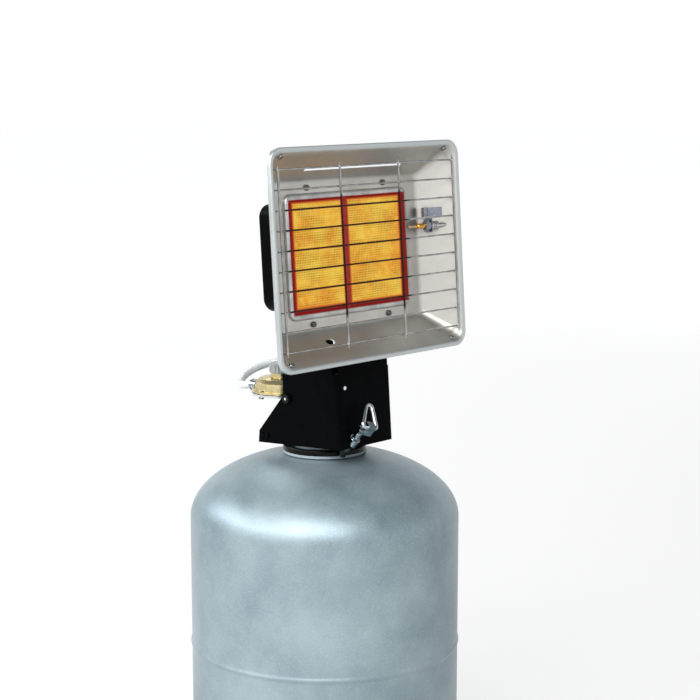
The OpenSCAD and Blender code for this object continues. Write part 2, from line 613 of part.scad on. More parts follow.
// ---- burner ----
module burner_frame() color("#c9cccd") head() loft([
    [frame_open_w, frame_open_h, 5, reflector_depth - frame_lip],
    [frame_w - 4, frame_h - 4, 8, reflector_depth - frame_lip],
    [frame_w, frame_h, 10, reflector_depth - frame_lip + 2],
    [frame_w, frame_h, 10, reflector_depth - 0.1],
    [frame_w - 2, frame_h - 2, 9, reflector_depth - 0.1],
    [frame_w - 2, frame_h - 2, 9, reflector_depth - frame_lip + 2.4],
    [frame_open_w + 2, frame_open_h + 2, 6, reflector_depth - frame_lip + 1],
    [frame_open_w + 2, frame_open_h + 2, 6, floor_back],
    [frame_open_w, frame_open_h, 5, floor_back]], closed = true);
module burner_screws() color("#9a9d9f") head() for (x = [-1, 1]) for (z = [-1, 1])
    translate([x * screw_x, reflector_depth - 0.1, z * screw_z]) {
        rotate([90, 0, 0]) cylinder(r = 3.2, h = 2, $fn = 24);
        translate([0, -1, 0]) along_y() cylinder(r = 1.6, h = 6, $fn = 24);
    }
module plaque() translate([-plaque_w / 2, plaque_y, -plaque_h / 2]) cube([plaque_w, plaque_t, plaque_h]);
plaque_x = (plaque_w + burner_gap) / 2;
module plaque_left() color("#e9a53a") head() translate([-plaque_x, 0, 0]) plaque();
module plaque_right() color("#e9a53a") head() translate([plaque_x, 0, 0]) plaque();
module plaque_divider() color("#8e1a1a") head() union() {
    translate([-burner_gap / 2 + 0.1, plaque_y - 0.6, -plaque_h / 2]) cube([burner_gap - 0.2, plaque_t + 0.6, plaque_h]);
}
module plaque_gasket() color("#d8d4c8") head() translate([0, plaque_y + plaque_t + 0.1, 0]) along_y() difference() {
    linear_extrude(2) square([burner_w, plaque_h], center = true);
    translate([0, 0, -1]) linear_extrude(4) square([burner_w - 16, plaque_h - 16], center = true);
}
tray_d = plaque_y + plaque_t + 2.2;
inner_w = housing_w - 2 * housing_t;
inner_h = housing_h - 2 * housing_t;
module burner_housing() color("#0b0d0e") head() difference() {
    loft([
        [inner_w - 5, inner_h - 5, housing_r - 3, housing_back - housing_t],
        [inner_w, inner_h, housing_r - 1, housing_back - housing_t - 2.5],
        [inner_w, inner_h, housing_r - 1, tray_d],
        [burner_w + 0.6, plaque_h + 0.6, 0.3, tray_d],
        [burner_w + 0.6, plaque_h + 0.6, 0.3, floor_back + 0.1],
        [burner_w + 18, plaque_h + 24, 6, floor_back + 0.1],
        [burner_w + 18, plaque_h + 24, 6, floor_back + 1.3],
        [burner_w + 3, plaque_h + 3, 4, floor_back + 1.3],
        [burner_w + 3, plaque_h + 3, 4, tray_d + 1.5],
        [housing_w, housing_h, housing_r, tray_d + 1.5],
        [housing_w, housing_h, housing_r, housing_back - 4],
        [housing_w - 3, housing_h - 3, housing_r - 1, housing_back - 1.2],
        [housing_w - 8, housing_h - 8, housing_r - 3, housing_back]]);
    translate([housing_w / 2 - 6, gas_y, gas_z]) along_x() cylinder(r = 6.3, h = 12);
    for (x = [-22, 22]) translate([x, web_screw_y - rim_y, -housing_h / 2 - 3]) cylinder(r = 2.2, h = 8);
    for (x = [-1, 1]) for (z = [-1, 1])
        translate([x * screw_x, floor_back - 1, z * screw_z]) along_y() cylinder(r = 1.7, h = 6, $fn = 16);
}
tube_r = 7.5;
module mixing_tube() color("#9a9d9f") head() translate([-60, gas_y, gas_z]) along_x() union() {
    rotate_extrude() polygon([[tube_r - 1, 0], [tube_r, 0], [tube_r, 100], [tube_r + 2, 128], [tube_r + 1, 128],
        [tube_r - 1, 100]]);
    for (z = [14, 82]) translate([-5, tube_r - 0.8, z])
        cube([10, housing_back - housing_t - gap - gas_y - tube_r + 0.8, 8]);
}
module injector() color("#c3ae74") head() translate([housing_w / 2 - 20, gas_y, gas_z]) along_x() difference() {
    union() {
        cylinder(r1 = 2, r2 = 4, h = 4);
        translate([0, 0, 4]) hex(10, 7);
    }
    translate([0, 0, -1]) cylinder(r = 0.4, h = 14, $fn = 16);
}
valve_x0 = housing_w / 2;
module gas_valve() color("#b9a36a") head() translate([0, gas_y, gas_z]) difference() {
    union() {
        translate([valve_x0 - 9 + gap, 0, 0]) along_x() cylinder(r = 6, h = 12);
        translate([valve_x0 + gap, 0, 0]) along_x() cylinder(r = 8.5, h = 4);
        translate([valve_x0 + 2.2, 0, 0]) along_x() cylinder(r = 11, h = 31.5);
        translate([head_inlet[0], 0, -16]) cylinder(r = 7, h = 12);
        translate([head_inlet[0], 0, -20.4]) cylinder(r = 5, h = 10);
        translate([valve_port[0], 5, 0]) along_y() cylinder(r = 4.5, h = 10);
    }
    translate([valve_x0 - 10, 0, 0]) along_x() cylinder(r = 3, h = 30);
    translate([valve_x0 + 16.5, 0, 0]) along_x() cylinder(r = 4 + run, h = 30);
    translate([head_inlet[0], 0, -30]) cylinder(r = 3, h = 30);
}
module valve_nut() color("#c3ae74") head() translate([valve_x0 - housing_t - gap, gas_y, gas_z]) rotate([0, -90, 0]) difference() {
    hex(15, 4);
    translate([0, 0, -1]) cylinder(r = 6.1, h = 6);
}
module valve_button() color("#b01818") head() translate([valve_x0 + 23, gas_y, gas_z]) along_x() union() {
    cylinder(r = 4, h = 18);
    translate([0, 0, 17]) cylinder(r = 7, h = 5);
    translate([0, 0, 22]) cylinder(r1 = 7, r2 = 5.5, h = 1.5);
}

// ---- thermocouple ----
tc_r = 3.1;
// z axis along the thermocouple's rod, outwards through the right wall
module at_thermocouple() translate([wall_x(tc_depth), tc_depth, tc_z]) rotate([0, 0, tc_turn]) along_x() children();
// x axis along the right wall towards the rim, y axis out through it
module on_wall() translate([wall_x(tc_depth), tc_depth, tc_z]) rotate([0, 0, wall_turn]) children();
module thermocouple() color("#b9853a") head() at_thermocouple() {
    translate([0, 0, -40.5]) cylinder(r = 1.5, h = 12);
    translate([0, 0, -30]) cylinder(r1 = 2.4, r2 = tc_r, h = 1.5);
    translate([0, 0, -28.5]) cylinder(r = tc_r, h = 28.5 + tc_out);
}
module thermocouple_nut() color("#c9cccd") head() at_thermocouple() translate([0, 0, -20.3]) difference() {
    union() {
        hex(11.5, 4.6);
        translate([0, 0, 4.5]) cylinder(r = 6.2, h = 1.2);
    }
    translate([0, 0, -1]) cylinder(r = tc_r + run, h = 8);
}
// plate on the wall with a tongue across the rod and a curled upper corner
module thermocouple_bracket() color("#9fa3a3") head() difference() {
    union() {
        on_wall() {
            translate([-17, -1.3, -8]) cube([7.5, 1, 28]);
            translate([-17.6, -1.3, 9]) cube([19.6, 1, 11]);
            translate([-17, -4.3, 9]) difference() {
                cylinder(r = 4, h = 11);
                translate([0, 0, -1]) cylinder(r = 3, h = 13);
                translate([0, -3, -1]) cube([5, 10, 13]);
            }
        }
        at_thermocouple() translate([-7, -6.5, -14.3]) cube([14, 13.6, 1]);
    }
    at_thermocouple() translate([0, 0, -20]) cylinder(r = tc_r + gap, h = 40);
}
module capillary() color("#b87333") head() sweep(capillary_route, 1.2, [0.4, 0.5, 1], 8);

bottle_shell();
foot_ring();
neck_bung();
neck_collar();
seat_ring();
valve_body();
valve_gland();
valve_spindle();
valve_handwheel();
handwheel_nut();
relief_valve();
outlet_seal();
inlet_stem();
union_nut();
regulator_body();
regulator_cover();
regulator_diaphragm();
regulator_screws();
regulator_knob();
outlet_nipple();
hose();
hose_ferrule();
head_ferrule();
hose_nut();
bracket();
collar_strap();
strap_rivets();
tilt_stop();
stop_screw();
pivot_bolts();
pivot_washers();
pivot_nuts();
clamp_bush();
clamp_screw();
clamp_pad();
clamp_handle();
yoke();
yoke_screws();
reflector();
guard_cross_wires();
guard_upright_wires();
guard_screws();
burner_frame();
burner_screws();
plaque_left();
plaque_right();
plaque_divider();
plaque_gasket();
burner_housing();
mixing_tube();
injector();
gas_valve();
valve_nut();
valve_button();
thermocouple();
thermocouple_nut();
thermocouple_bracket();
capillary();
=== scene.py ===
import json
import math

import bmesh
import bpy
import numpy as np
from mathutils import Matrix, Vector

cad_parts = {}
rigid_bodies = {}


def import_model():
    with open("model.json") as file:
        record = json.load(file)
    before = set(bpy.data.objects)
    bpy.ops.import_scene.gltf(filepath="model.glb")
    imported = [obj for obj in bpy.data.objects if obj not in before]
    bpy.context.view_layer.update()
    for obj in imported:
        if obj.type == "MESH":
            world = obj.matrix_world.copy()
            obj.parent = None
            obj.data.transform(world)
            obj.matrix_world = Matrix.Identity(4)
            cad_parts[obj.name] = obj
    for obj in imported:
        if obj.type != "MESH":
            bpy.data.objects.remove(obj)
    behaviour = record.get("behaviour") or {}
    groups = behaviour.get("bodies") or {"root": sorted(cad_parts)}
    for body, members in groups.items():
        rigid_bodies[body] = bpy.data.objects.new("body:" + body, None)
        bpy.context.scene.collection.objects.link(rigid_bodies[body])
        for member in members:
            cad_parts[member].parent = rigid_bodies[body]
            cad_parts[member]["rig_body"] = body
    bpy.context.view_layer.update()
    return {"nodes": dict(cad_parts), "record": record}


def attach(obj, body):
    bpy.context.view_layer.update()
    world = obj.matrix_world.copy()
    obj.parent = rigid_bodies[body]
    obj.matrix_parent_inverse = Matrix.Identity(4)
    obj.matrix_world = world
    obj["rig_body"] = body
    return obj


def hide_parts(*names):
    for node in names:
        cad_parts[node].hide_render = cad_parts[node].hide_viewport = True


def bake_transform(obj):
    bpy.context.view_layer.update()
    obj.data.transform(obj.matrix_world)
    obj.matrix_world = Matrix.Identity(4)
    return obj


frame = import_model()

MM = 0.001

# ---- sizes, in millimetres ----
BOTTLE_R, BOTTLE_T = 150.0, 3.0
WALL_LOW, WALL_TOP, DOME_H = 95.0, 380.0, 75.0
NECK_Z = WALL_TOP + DOME_H                                   # the dome's top, from which the heater is measured
BUNG_R = 16.0
COLLAR_R, SEAT_R, SEAT_TOP = 40.0, 47.0, 7.0
LEAN = math.radians(4)                                       # the bracket sits turned back on the collar
RIM_Y, HEAD_Z = -90.1, 219.0                                 # the middle of the reflector's rim
RIM_W, RIM_H = 294.0, 231.0
MOUTH_W, MOUTH_H, MOUTH_R = 284.0, 221.0, 12.0
FLOOR_W, FLOOR_H, FLOOR_R, DEPTH = 228.0, 158.0, 7.0, 38.0
PLAQUE_W, PLAQUE_H, PLAQUE_GAP = 92.0, 126.0, 4.6
PLAQUE_Y, PLAQUE_T = 41.0, 13.0
BURNER_W = 2 * PLAQUE_W + PLAQUE_GAP
HOUSING_BACK = 79.0
PORT_Z, REGULATOR_Y = 61.0, 69.0
CLAMP_X, CLAMP_Y, CLAMP_Z = -22.0, -46.8, 2.4                # the clamp screw's tip
CLAMP_TILT = math.radians(43)
TC_DEPTH, TC_Z, TC_TURN = 16.3, 20.9, math.radians(-23.2)    # where the thermocouple passes the wall


# ---- places ----
def neck(p):
    """Points above the top of the dome, in mm, as row-frame metres."""
    p = np.asarray(p, float)
    return np.stack([p[..., 0], p[..., 1], p[..., 2] + NECK_Z], -1) * MM


def leaned(p):
    """Points of the clamped heater: turned back by the lean about the X axis, then raised to the neck."""
    p = np.asarray(p, float)
    c, s = math.cos(LEAN), math.sin(LEAN)
    return neck(np.stack([p[..., 0], p[..., 1] * c + p[..., 2] * s, p[..., 2] * c - p[..., 1] * s], -1))


def head(p):
    """Points of the head: x, depth behind the rim plane, height above the rim's centre."""
    p = np.asarray(p, float)
    return leaned(np.stack([p[..., 0], p[..., 1] + RIM_Y, p[..., 2] + HEAD_Z], -1))


def points_of(mesh):
    """A mesh's points, one per row, in metres."""
    co = np.empty(len(mesh.vertices) * 3)
    mesh.vertices.foreach_get("co", co)
    return co.reshape(-1, 3)


def head_places(piece):
    """A piece's points in the head's frame: x, depth behind the rim plane, height above the rim's centre."""
    x, y, z = (points_of(piece.data) / MM - [0, 0, NECK_Z]).T
    c, s = math.cos(LEAN), math.sin(LEAN)
    return x, y * c - z * s - RIM_Y, z * c + y * s - HEAD_Z


def wall_x(y):
    """Half width of the reflector's inside at a depth."""
    return MOUTH_W / 2 + (FLOOR_W - MOUTH_W) / 2 * y / DEPTH


def wall_z(y):
    """Half height of the reflector's inside at a depth."""
    return MOUTH_H / 2 + (FLOOR_H - MOUTH_H) / 2 * y / DEPTH


def clamp(p):
    """Points in the clamp screw's frame: its tip at the origin, z along it, forwards and CLAMP_TILT from
    upright."""
    p = np.asarray(p, float)
    c, s = math.cos(CLAMP_TILT), math.sin(CLAMP_TILT)
    return neck(np.stack([p[..., 0] + CLAMP_X, p[..., 1] * c - p[..., 2] * s + CLAMP_Y,
                          p[..., 1] * s + p[..., 2] * c + CLAMP_Z], -1))


def thermocouple(p):
    """Points in the thermocouple's frame: z along its rod, outwards through the right wall."""
    p = np.asarray(p, float)
    c, s = math.cos(TC_TURN), math.sin(TC_TURN)
    return head(np.stack([wall_x(TC_DEPTH) + p[..., 2] * c - p[..., 1] * s,
                          TC_DEPTH + p[..., 2] * s + p[..., 1] * c, TC_Z - p[..., 0]], -1))


def show(name, data):
    """An object in the scene with that data."""
    made = bpy.data.objects.new(name, data)
    bpy.context.scene.collection.objects.link(made)
    return made


# ---- camera ----
# its turn round the neck, its height above it, its distance and the shifts of its aim, in mm
CAMERA_AZ, CAMERA_EL = math.radians(-46.8), math.radians(9.3)
CAMERA_DIST, CAMERA_TX, CAMERA_TZ = 1925.8, -28.4, -109.3
level = math.cos(CAMERA_EL)
back = np.array([math.sin(CAMERA_AZ) * level, -math.cos(CAMERA_AZ) * level, math.sin(CAMERA_EL)])
right = np.array([math.cos(CAMERA_AZ), math.sin(CAMERA_AZ), 0])
up = np.cross(back, right)
eye = (back * CAMERA_DIST - right * CAMERA_TX - up * CAMERA_TZ) * MM + np.array([0, 0, NECK_Z * MM])
camera_data = bpy.data.cameras.new("camera")
camera_data.lens = 88.8
camera_data.sensor_width = 36
camera_data.clip_end = 60
camera = show("camera", camera_data)
camera.matrix_world = Matrix(np.vstack([np.c_[right, up, back, eye], [0, 0, 0, 1]]).tolist())
bpy.context.scene.camera = camera


# ---- meshes ----
def signed_volume(mesh):
    """Sum of the signed tetrahedra from the origin over the mesh's triangles."""
    mesh.calc_loop_triangles()
    tri = np.empty(len(mesh.loop_triangles) * 3, int)
    mesh.loop_triangles.foreach_get("vertices", tri)
    a, b, c = points_of(mesh)[tri.reshape(-1, 3)].transpose(1, 0, 2)
    return np.einsum("ij,ij->i", a, np.cross(b, c)).sum() / 6


def closed_mesh(name, verts, faces):
    """A mesh from points in metres and a list or array of faces, with outward normals."""
    mesh = bpy.data.meshes.new(name)
    mesh.from_pydata(np.asarray(verts).reshape(-1, 3).tolist(), [], [list(map(int, f)) for f in faces])
    mesh.validate()
    if signed_volume(mesh) < 0:
        mesh.flip_normals()
    return mesh


def make(name, verts, faces, body, slot, replaced, smooth=True):
    """A piece of the object with its slot's material, in place of some CAD nodes and riding on a body."""
    mesh = closed_mesh(name, verts, faces)
    piece = show(name, mesh)
    mesh.polygons.foreach_set("use_smooth", [smooth] * len(mesh.polygons))
    mesh.materials.append(MATERIALS[slot])
    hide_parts(*replaced)
    if body:
        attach(piece, body)
    return piece


def grid_faces(nu, nv, wrap_u=False, wrap_v=False, first=0):
    """Quads of a nu by nv grid of points, closed round in either way."""
    i = np.arange(nu if wrap_u else nu - 1)[:, None]
    j = np.arange(nv if wrap_v else nv - 1)[None, :]
    i2, j2 = (i + 1) % nu, (j + 1) % nv
    return first + np.stack([i * nv + j, i2 * nv + j, i2 * nv + j2, i * nv + j2], -1).reshape(-1, 4)


def revolve(profile, steps, place):
    """Points of a closed profile [r, z] turned about the z axis: x = r cos t, y = r sin t."""
    profile = np.asarray(profile, float)
    t = np.linspace(0, 2 * math.pi, steps, endpoint=False)
    r, z = profile[:, :1], profile[:, 1:]
    return place(np.stack([r * np.cos(t), r * np.sin(t), z + 0 * t], -1))


def turned(name, profile, steps, place, body, slot, replaced):
    """A turned piece from a profile that runs from axis to axis, or in a closed loop clear of the axis."""
    profile = np.asarray(profile, float)
    if profile[0, 0] > 0:
        points = revolve(profile, steps, place)
        return make(name, points, grid_faces(len(profile), steps, True, True), body, slot, replaced)
    points = revolve(profile[1:-1], steps, place).reshape(-1, 3)
    n = len(profile) - 2
    ends = place(np.array([[0, 0, profile[0, 1]], [0, 0, profile[-1, 1]]]))
    j = np.arange(steps)
    j2 = (j + 1) % steps
    faces = list(grid_faces(n, steps, False, True))
    faces += list(np.stack([j2, j, 0 * j + n * steps], 1))
    faces += list(np.stack([(n - 1) * steps + j, (n - 1) * steps + j2, 0 * j + n * steps + 1], 1))
    return make(name, np.vstack([points, ends]), faces, body, slot, replaced)


def rounded(stations, radius, closed=True, steps=4):
    """Each corner q of a polyline of stations becomes a quadratic arc (1-u)^2 a + 2u(1-u) q + u^2 b, whose
    ends a and b lie radius away from it on its two sides. radius is one number or one per station."""
    q = np.asarray(stations, float)
    r = np.broadcast_to(np.asarray(radius, float), len(q))[:, None]
    before, after = np.roll(q, 1, 0), np.roll(q, -1, 0)

    def share(other):
        """radius over the side's length, under a half; [w, h, r, depth] are apart by half width and depth."""
        d = other - q
        length = np.linalg.norm(d, axis=1, keepdims=True)
        if q.shape[1] == 4:
            length = np.sqrt((d[:, :1] / 2) ** 2 + d[:, -1:] ** 2)
        return np.minimum(r / np.maximum(length, 1e-9), 0.49)

    a, b = q + (before - q) * share(before), q + (after - q) * share(after)
    u = np.linspace(0, 1, steps + 1)[None, :, None]
    arcs = (1 - u) ** 2 * a[:, None] + 2 * u * (1 - u) * q[:, None] + u ** 2 * b[:, None]
    if closed:
        return arcs.reshape(-1, q.shape[1])
    return np.vstack([q[:1], arcs[1:-1].reshape(-1, q.shape[1]), q[-1:]])


def outline(w, h, r, corner=8, side=6):
    """Rounded rectangle: a quarter circle at each corner, joined by evenly divided sides."""
    w, h, r = (np.asarray(v, float)[..., None] for v in (w, h, r))
    t = np.linspace(0, math.pi / 2, corner + 1)
    rings = []
    for k, (sx, sz) in enumerate(((1, 1), (-1, 1), (-1, -1), (1, -1))):
        a = t + k * math.pi / 2
        rings.append(np.stack([sx * (w / 2 - r) + r * np.cos(a), sz * (h / 2 - r) + r * np.sin(a)], -1))
    parts = []
    for k in range(4):
        start, end = rings[k][..., -1:, :], rings[(k + 1) % 4][..., :1, :]
        u = np.linspace(0, 1, side + 1)[1:-1][:, None]
        parts += [rings[k], start + (end - start) * u]
    return np.concatenate(parts, -2)


def lofted(stations, corner=8):
    """Points of the head from rounded rectangles [w, h, r, depth], one ring for each."""
    xz = outline(stations[:, 0], stations[:, 1], stations[:, 2], corner)
    y = np.broadcast_to(stations[:, 3][:, None], xz.shape[:2])
    return head(np.stack([xz[..., 0], y, xz[..., 1]], -1))


def pressed(name, stations, radius, slot, replaced, steps):
    """A pressed sheet of the head: rectangles lofted in a closed loop round the sheet's thickness."""
    points = lofted(rounded(stations, radius, True, steps))
    return make(name, points, grid_faces(*points.shape[:2], True, True), "head", slot, replaced)


def drawn(pull, per_span):
    """Uniform cubic B-spline with those control points: each span weighs four of them by
    (1-t)^3, 3t^3-6t^2+4, 1+3t+3t^2-3t^3 and t^3, over 6."""
    a, b, c, d = (pull[i:len(pull) - 3 + i][:, None] for i in range(4))
    t = np.linspace(0, 1, per_span, endpoint=False)[None, :, None]
    curve = ((1 - t) ** 3 * a + (3 * t ** 3 - 6 * t ** 2 + 4) * b
             + (1 + 3 * t + 3 * t ** 2 - 3 * t ** 3) * c + t ** 3 * d)
    return curve.reshape(-1, 3) / 6


def tube_points(path, radius, side, sides):
    """Circles of that radius round a path, each square to it; side is a direction the path never takes."""
    path = np.asarray(path, float)
    d = np.gradient(path, axis=0)
    d /= np.linalg.norm(d, axis=1, keepdims=True)
    u = np.cross(d, side)
    u /= np.linalg.norm(u, axis=1, keepdims=True)
    v = np.cross(d, u)
    t = np.linspace(0, 2 * math.pi, sides, endpoint=False)[None, :, None]
    r = np.broadcast_to(np.asarray(radius, float), len(path))[:, None, None]
    return path[:, None] + r * (u[:, None] * np.cos(t) + v[:, None] * np.sin(t))


def tube(points, first=0):
    """Faces of an open tube of circles with a cap at each end."""
    n, m = points.shape[:2]
    faces = list(grid_faces(n, m, False, True, first))
    return faces + [first + np.arange(m)[::-1], first + (n - 1) * m + np.arange(m)]


def wire(start, end, radius, steps=14, pitch=4):
    """Circles of a straight wire with rounded ends: the radius follows a quarter circle over the last
    stretch, and the circles between stand no more than pitch apart."""
    start, end = np.asarray(start, float), np.asarray(end, float)
    length = np.linalg.norm(end - start)
    a = np.linspace(0.25, math.pi / 2, 4)
    cap = radius * (1 - np.sin(a))
    middle = np.linspace(cap[0], length - cap[0], int(length / pitch) + 2)[1:-1]
    s = np.concatenate([cap[::-1], middle, length - cap]) / length
    r = np.concatenate([radius * np.sin(a)[::-1], 0 * middle + radius, radius * np.sin(a)])
    return tube_points(start + (end - start) * s[:, None], r, [0.3, 1, 0.2], steps)


def bundle(name, tubes, slot, replaced):
    """Several capped tubes of the head in one mesh."""
    verts, faces, first = [], [], 0
    for t in tubes:
        verts.append(t.reshape(-1, 3))
        faces += tube(t, first)
        first += t.shape[0] * t.shape[1]
    return make(name, head(np.vstack(verts)), faces, "head", slot, replaced)


def nugget(centre, radii, rings=7, steps=10):
    """A weld nugget as a stack of circles: an ellipsoid with radii along x, y and z."""
    a = np.linspace(-1.35, 1.35, rings)[:, None]
    t = np.linspace(0, 2 * math.pi, steps, endpoint=False)[None]
    unit = np.stack([np.cos(a) * np.cos(t), np.sin(a) + 0 * t, np.cos(a) * np.sin(t)], -1)
    return np.asarray(centre, float) + unit * radii


def mark(piece, label, values):
    """Stores one number per vertex for the piece's material."""
    piece.data.attributes.new(label, "FLOAT", "POINT").data.foreach_set("value", values.astype(np.float32))


def band(x, low, high, soft):
    """1 between low and high, falling to 0 over soft on either side by 3t^2 - 2t^3."""
    t = np.clip(np.minimum(x - low, high - x) / soft + 1, 0, 1)
    return t * t * (3 - 2 * t)


def softened(name, node, slot, width, angle=32):
    """A merged copy of a CAD node with its sharp edges broken by a bevel of that width in mm."""
    source = frame["nodes"][node]
    mesh = source.data.copy()
    mesh.name = name
    bm = bmesh.new()
    bm.from_mesh(mesh)
    bmesh.ops.remove_doubles(bm, verts=bm.verts, dist=2e-6)
    bmesh.ops.dissolve_limit(bm, angle_limit=math.radians(0.6), verts=bm.verts, edges=bm.edges)
    bmesh.ops.recalc_face_normals(bm, faces=bm.faces)
    bm.to_mesh(mesh)
    bm.free()
    piece = show(name, mesh)
    bevel = piece.modifiers.new("edges", "BEVEL")
    bevel.width = width * MM
    bevel.segments = 2
    bevel.limit_method = "ANGLE"
    bevel.angle_limit = math.radians(angle)
    bevel.harden_normals = True
    mesh.polygons.foreach_set("use_smooth", [True] * len(mesh.polygons))
    mesh.set_sharp_from_angle(angle=math.radians(angle))
    mesh.materials.clear()
    mesh.materials.append(MATERIALS[slot])
    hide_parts(node)
    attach(piece, source["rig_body"])
    return piece


def cut(piece, cutters):
    """Takes the cutters' volumes out of the piece and removes them."""
    for cutter in cutters:
        cutter.hide_render = True
        boolean = piece.modifiers.new("hole", "BOOLEAN")
        boolean.object = cutter
        boolean.operation = "DIFFERENCE"
        boolean.solver = "EXACT"
    graph = bpy.context.evaluated_depsgraph_get()
    graph.update()
    mesh = bpy.data.meshes.new_from_object(piece.evaluated_get(graph))
    piece.modifiers.clear()
    piece.data = mesh
    mesh.set_sharp_from_angle(angle=math.radians(40))
    for cutter in cutters:
        bpy.data.objects.remove(cutter)


# ---- materials ----
def linear(text):
    """sRGB hex to linear RGBA: c / 12.92 for a dark channel, ((c + 0.055) / 1.055) ^ 2.4 for the others."""
    c = np.array([int(text[i:i + 2], 16) for i in (1, 3, 5)]) / 255
    c = np.where(c <= 0.04045, c / 12.92, ((c + 0.055) / 1.055) ** 2.4)
    return (*c.tolist(), 1.0)


def add(tree, kind, inputs=None, out=0, **settings):
    """Adds a shader node with its settings and links, and gives one of its outputs."""
    made = tree.nodes.new("ShaderNode" + kind)
    for key, value in settings.items():
        setattr(made, key, value)
    for key, value in (inputs or {}).items():
        if isinstance(value, bpy.types.NodeSocket):
            tree.links.new(value, made.inputs[key])
        else:
            made.inputs[key].default_value = value
    return made.outputs[out] if len(made.outputs) else made


def new_material(name):
    """An empty node material, its tree and the place of the shaded point."""
    material = bpy.data.materials.new(name)
    material.use_nodes = True
    tree = material.node_tree
    tree.nodes.clear()
    return material, tree, add(tree, "TexCoord", out="Object")


def finish(name, tones, metallic, rough, patch, grain, height, stretch=(1, 1, 1), coat=0.0, coat_rough=0.1,
           specular=0.5, scuff=None, attribute=None, attribute_tone=None):
    """A surface whose colour drifts between two tones over patches of that many mm, with the roughness
    drifting along, grain of a size in mm as a bump of that height in mm, and scuffs in a third tone that are
    rougher than the rest. An attribute, where the piece has it, takes the colour to attribute_tone."""
    material, tree, place = new_material(name)
    cloud = add(tree, "TexNoise", {"Vector": place, "Scale": 1000 / patch, "Detail": 5.0, "Roughness": 0.6})
    share = add(tree, "MapRange", {"Value": cloud, "From Min": 0.38, "From Max": 0.62})
    base = add(tree, "Mix", {0: share, 6: linear(tones[0]), 7: linear(tones[1])}, 2, data_type="RGBA")
    rough_now = add(tree, "MapRange", {"Value": share, "To Min": rough[0], "To Max": rough[1]})
    if scuff:
        long = add(tree, "Mapping", {"Vector": place, "Scale": (300, 300, 90)})
        worn = add(tree, "TexNoise", {"Vector": long, "Scale": 1.0, "Detail": 8.0, "Roughness": 0.7})
        marks = add(tree, "MapRange", {"Value": worn, "From Min": 0.62, "From Max": 0.72, "To Max": 0.25})
        base = add(tree, "Mix", {0: marks, 6: base, 7: linear(scuff)}, 2, data_type="RGBA")
        rough_now = add(tree, "Math", {0: marks, 1: 0.5, 2: rough_now}, operation="MULTIPLY_ADD")
    if attribute:
        there = add(tree, "Attribute", out="Fac", attribute_name=attribute)
        base = add(tree, "Mix", {0: there, 6: base, 7: linear(attribute_tone)}, 2, data_type="RGBA")
    fine = add(tree, "Mapping", {"Vector": place, "Scale": [1000 / grain / s for s in stretch]})
    grains = add(tree, "TexNoise", {"Vector": fine, "Scale": 1.0, "Detail": 2.0})
    bump = add(tree, "Bump", {"Height": grains, "Distance": height * MM})
    surface = add(tree, "BsdfPrincipled", {
        "Base Color": base, "Metallic": metallic, "Roughness": rough_now, "Normal": bump,
        "Specular IOR Level": specular, "Coat Weight": coat, "Coat Roughness": coat_rough})
    add(tree, "OutputMaterial", {"Surface": surface})
    return material


def glowing_ceramic():
    """Perforated cordierite plaque at work. The face glows golden yellow with orange clouds, each hole is a
    dark orange dot, and the glow falls to dull red where the plaque meets its felt."""
    material, tree, place = new_material("glowing cordierite plaque")
    glow = add(tree, "Attribute", out="Fac", attribute_name="glow_share")
    hole = add(tree, "Attribute", out="Fac", attribute_name="hole_share")
    cloud = add(tree, "TexNoise", {"Vector": place, "Scale": 1000 / 34, "Detail": 5.0, "Roughness": 0.65})
    share = add(tree, "MapRange", {"Value": cloud, "From Min": 0.36, "From Max": 0.64})
    face = add(tree, "Mix", {0: share, 6: linear("#F2A636"), 7: linear("#F9D351")}, 2, data_type="RGBA")
    speck = add(tree, "TexNoise", {"Vector": place, "Scale": 1000 / 5, "Detail": 3.0, "Roughness": 0.7})
    bright = add(tree, "MapRange", {"Value": speck, "From Min": 0.5, "From Max": 0.7, "To Max": 0.6})
    face = add(tree, "Mix", {0: bright, 6: face, 7: linear("#FBDD6A")}, 2, data_type="RGBA")
    bands = add(tree, "TexNoise", {"Vector": add(tree, "Mapping", {"Vector": place, "Scale": (25, 25, 90)}),
                                   "Scale": 1.0, "Detail": 4.0})
    hole_now = add(tree, "MapRange", {"Value": bands, "From Min": 0.4, "From Max": 0.6, "To Min": 0.35})
    hole = add(tree, "Math", {0: hole, 1: hole_now}, operation="MULTIPLY")
    face = add(tree, "Mix", {0: hole, 6: face, 7: linear("#6E3208")}, 2, data_type="RGBA")
    warm = add(tree, "ValToRGB", {"Fac": glow})
    stops = warm.node.color_ramp.elements
    stops[0].position, stops[0].color = 0.25, linear("#7E0F16")
    stops[1].position, stops[1].color = 0.75, linear("#DE7A34")
    rim = add(tree, "MapRange", {"Value": glow, "From Min": 0.55, "From Max": 1.0})
    colour = add(tree, "Mix", {0: rim, 6: warm, 7: face}, 2, data_type="RGBA")
    surface = add(tree, "BsdfPrincipled", {
        "Base Color": linear("#2A1A10"), "Roughness": 0.9, "Specular IOR Level": 0.1,
        "Emission Color": colour, "Emission Strength": 0.95})
    add(tree, "OutputMaterial", {"Surface": surface})
    return material


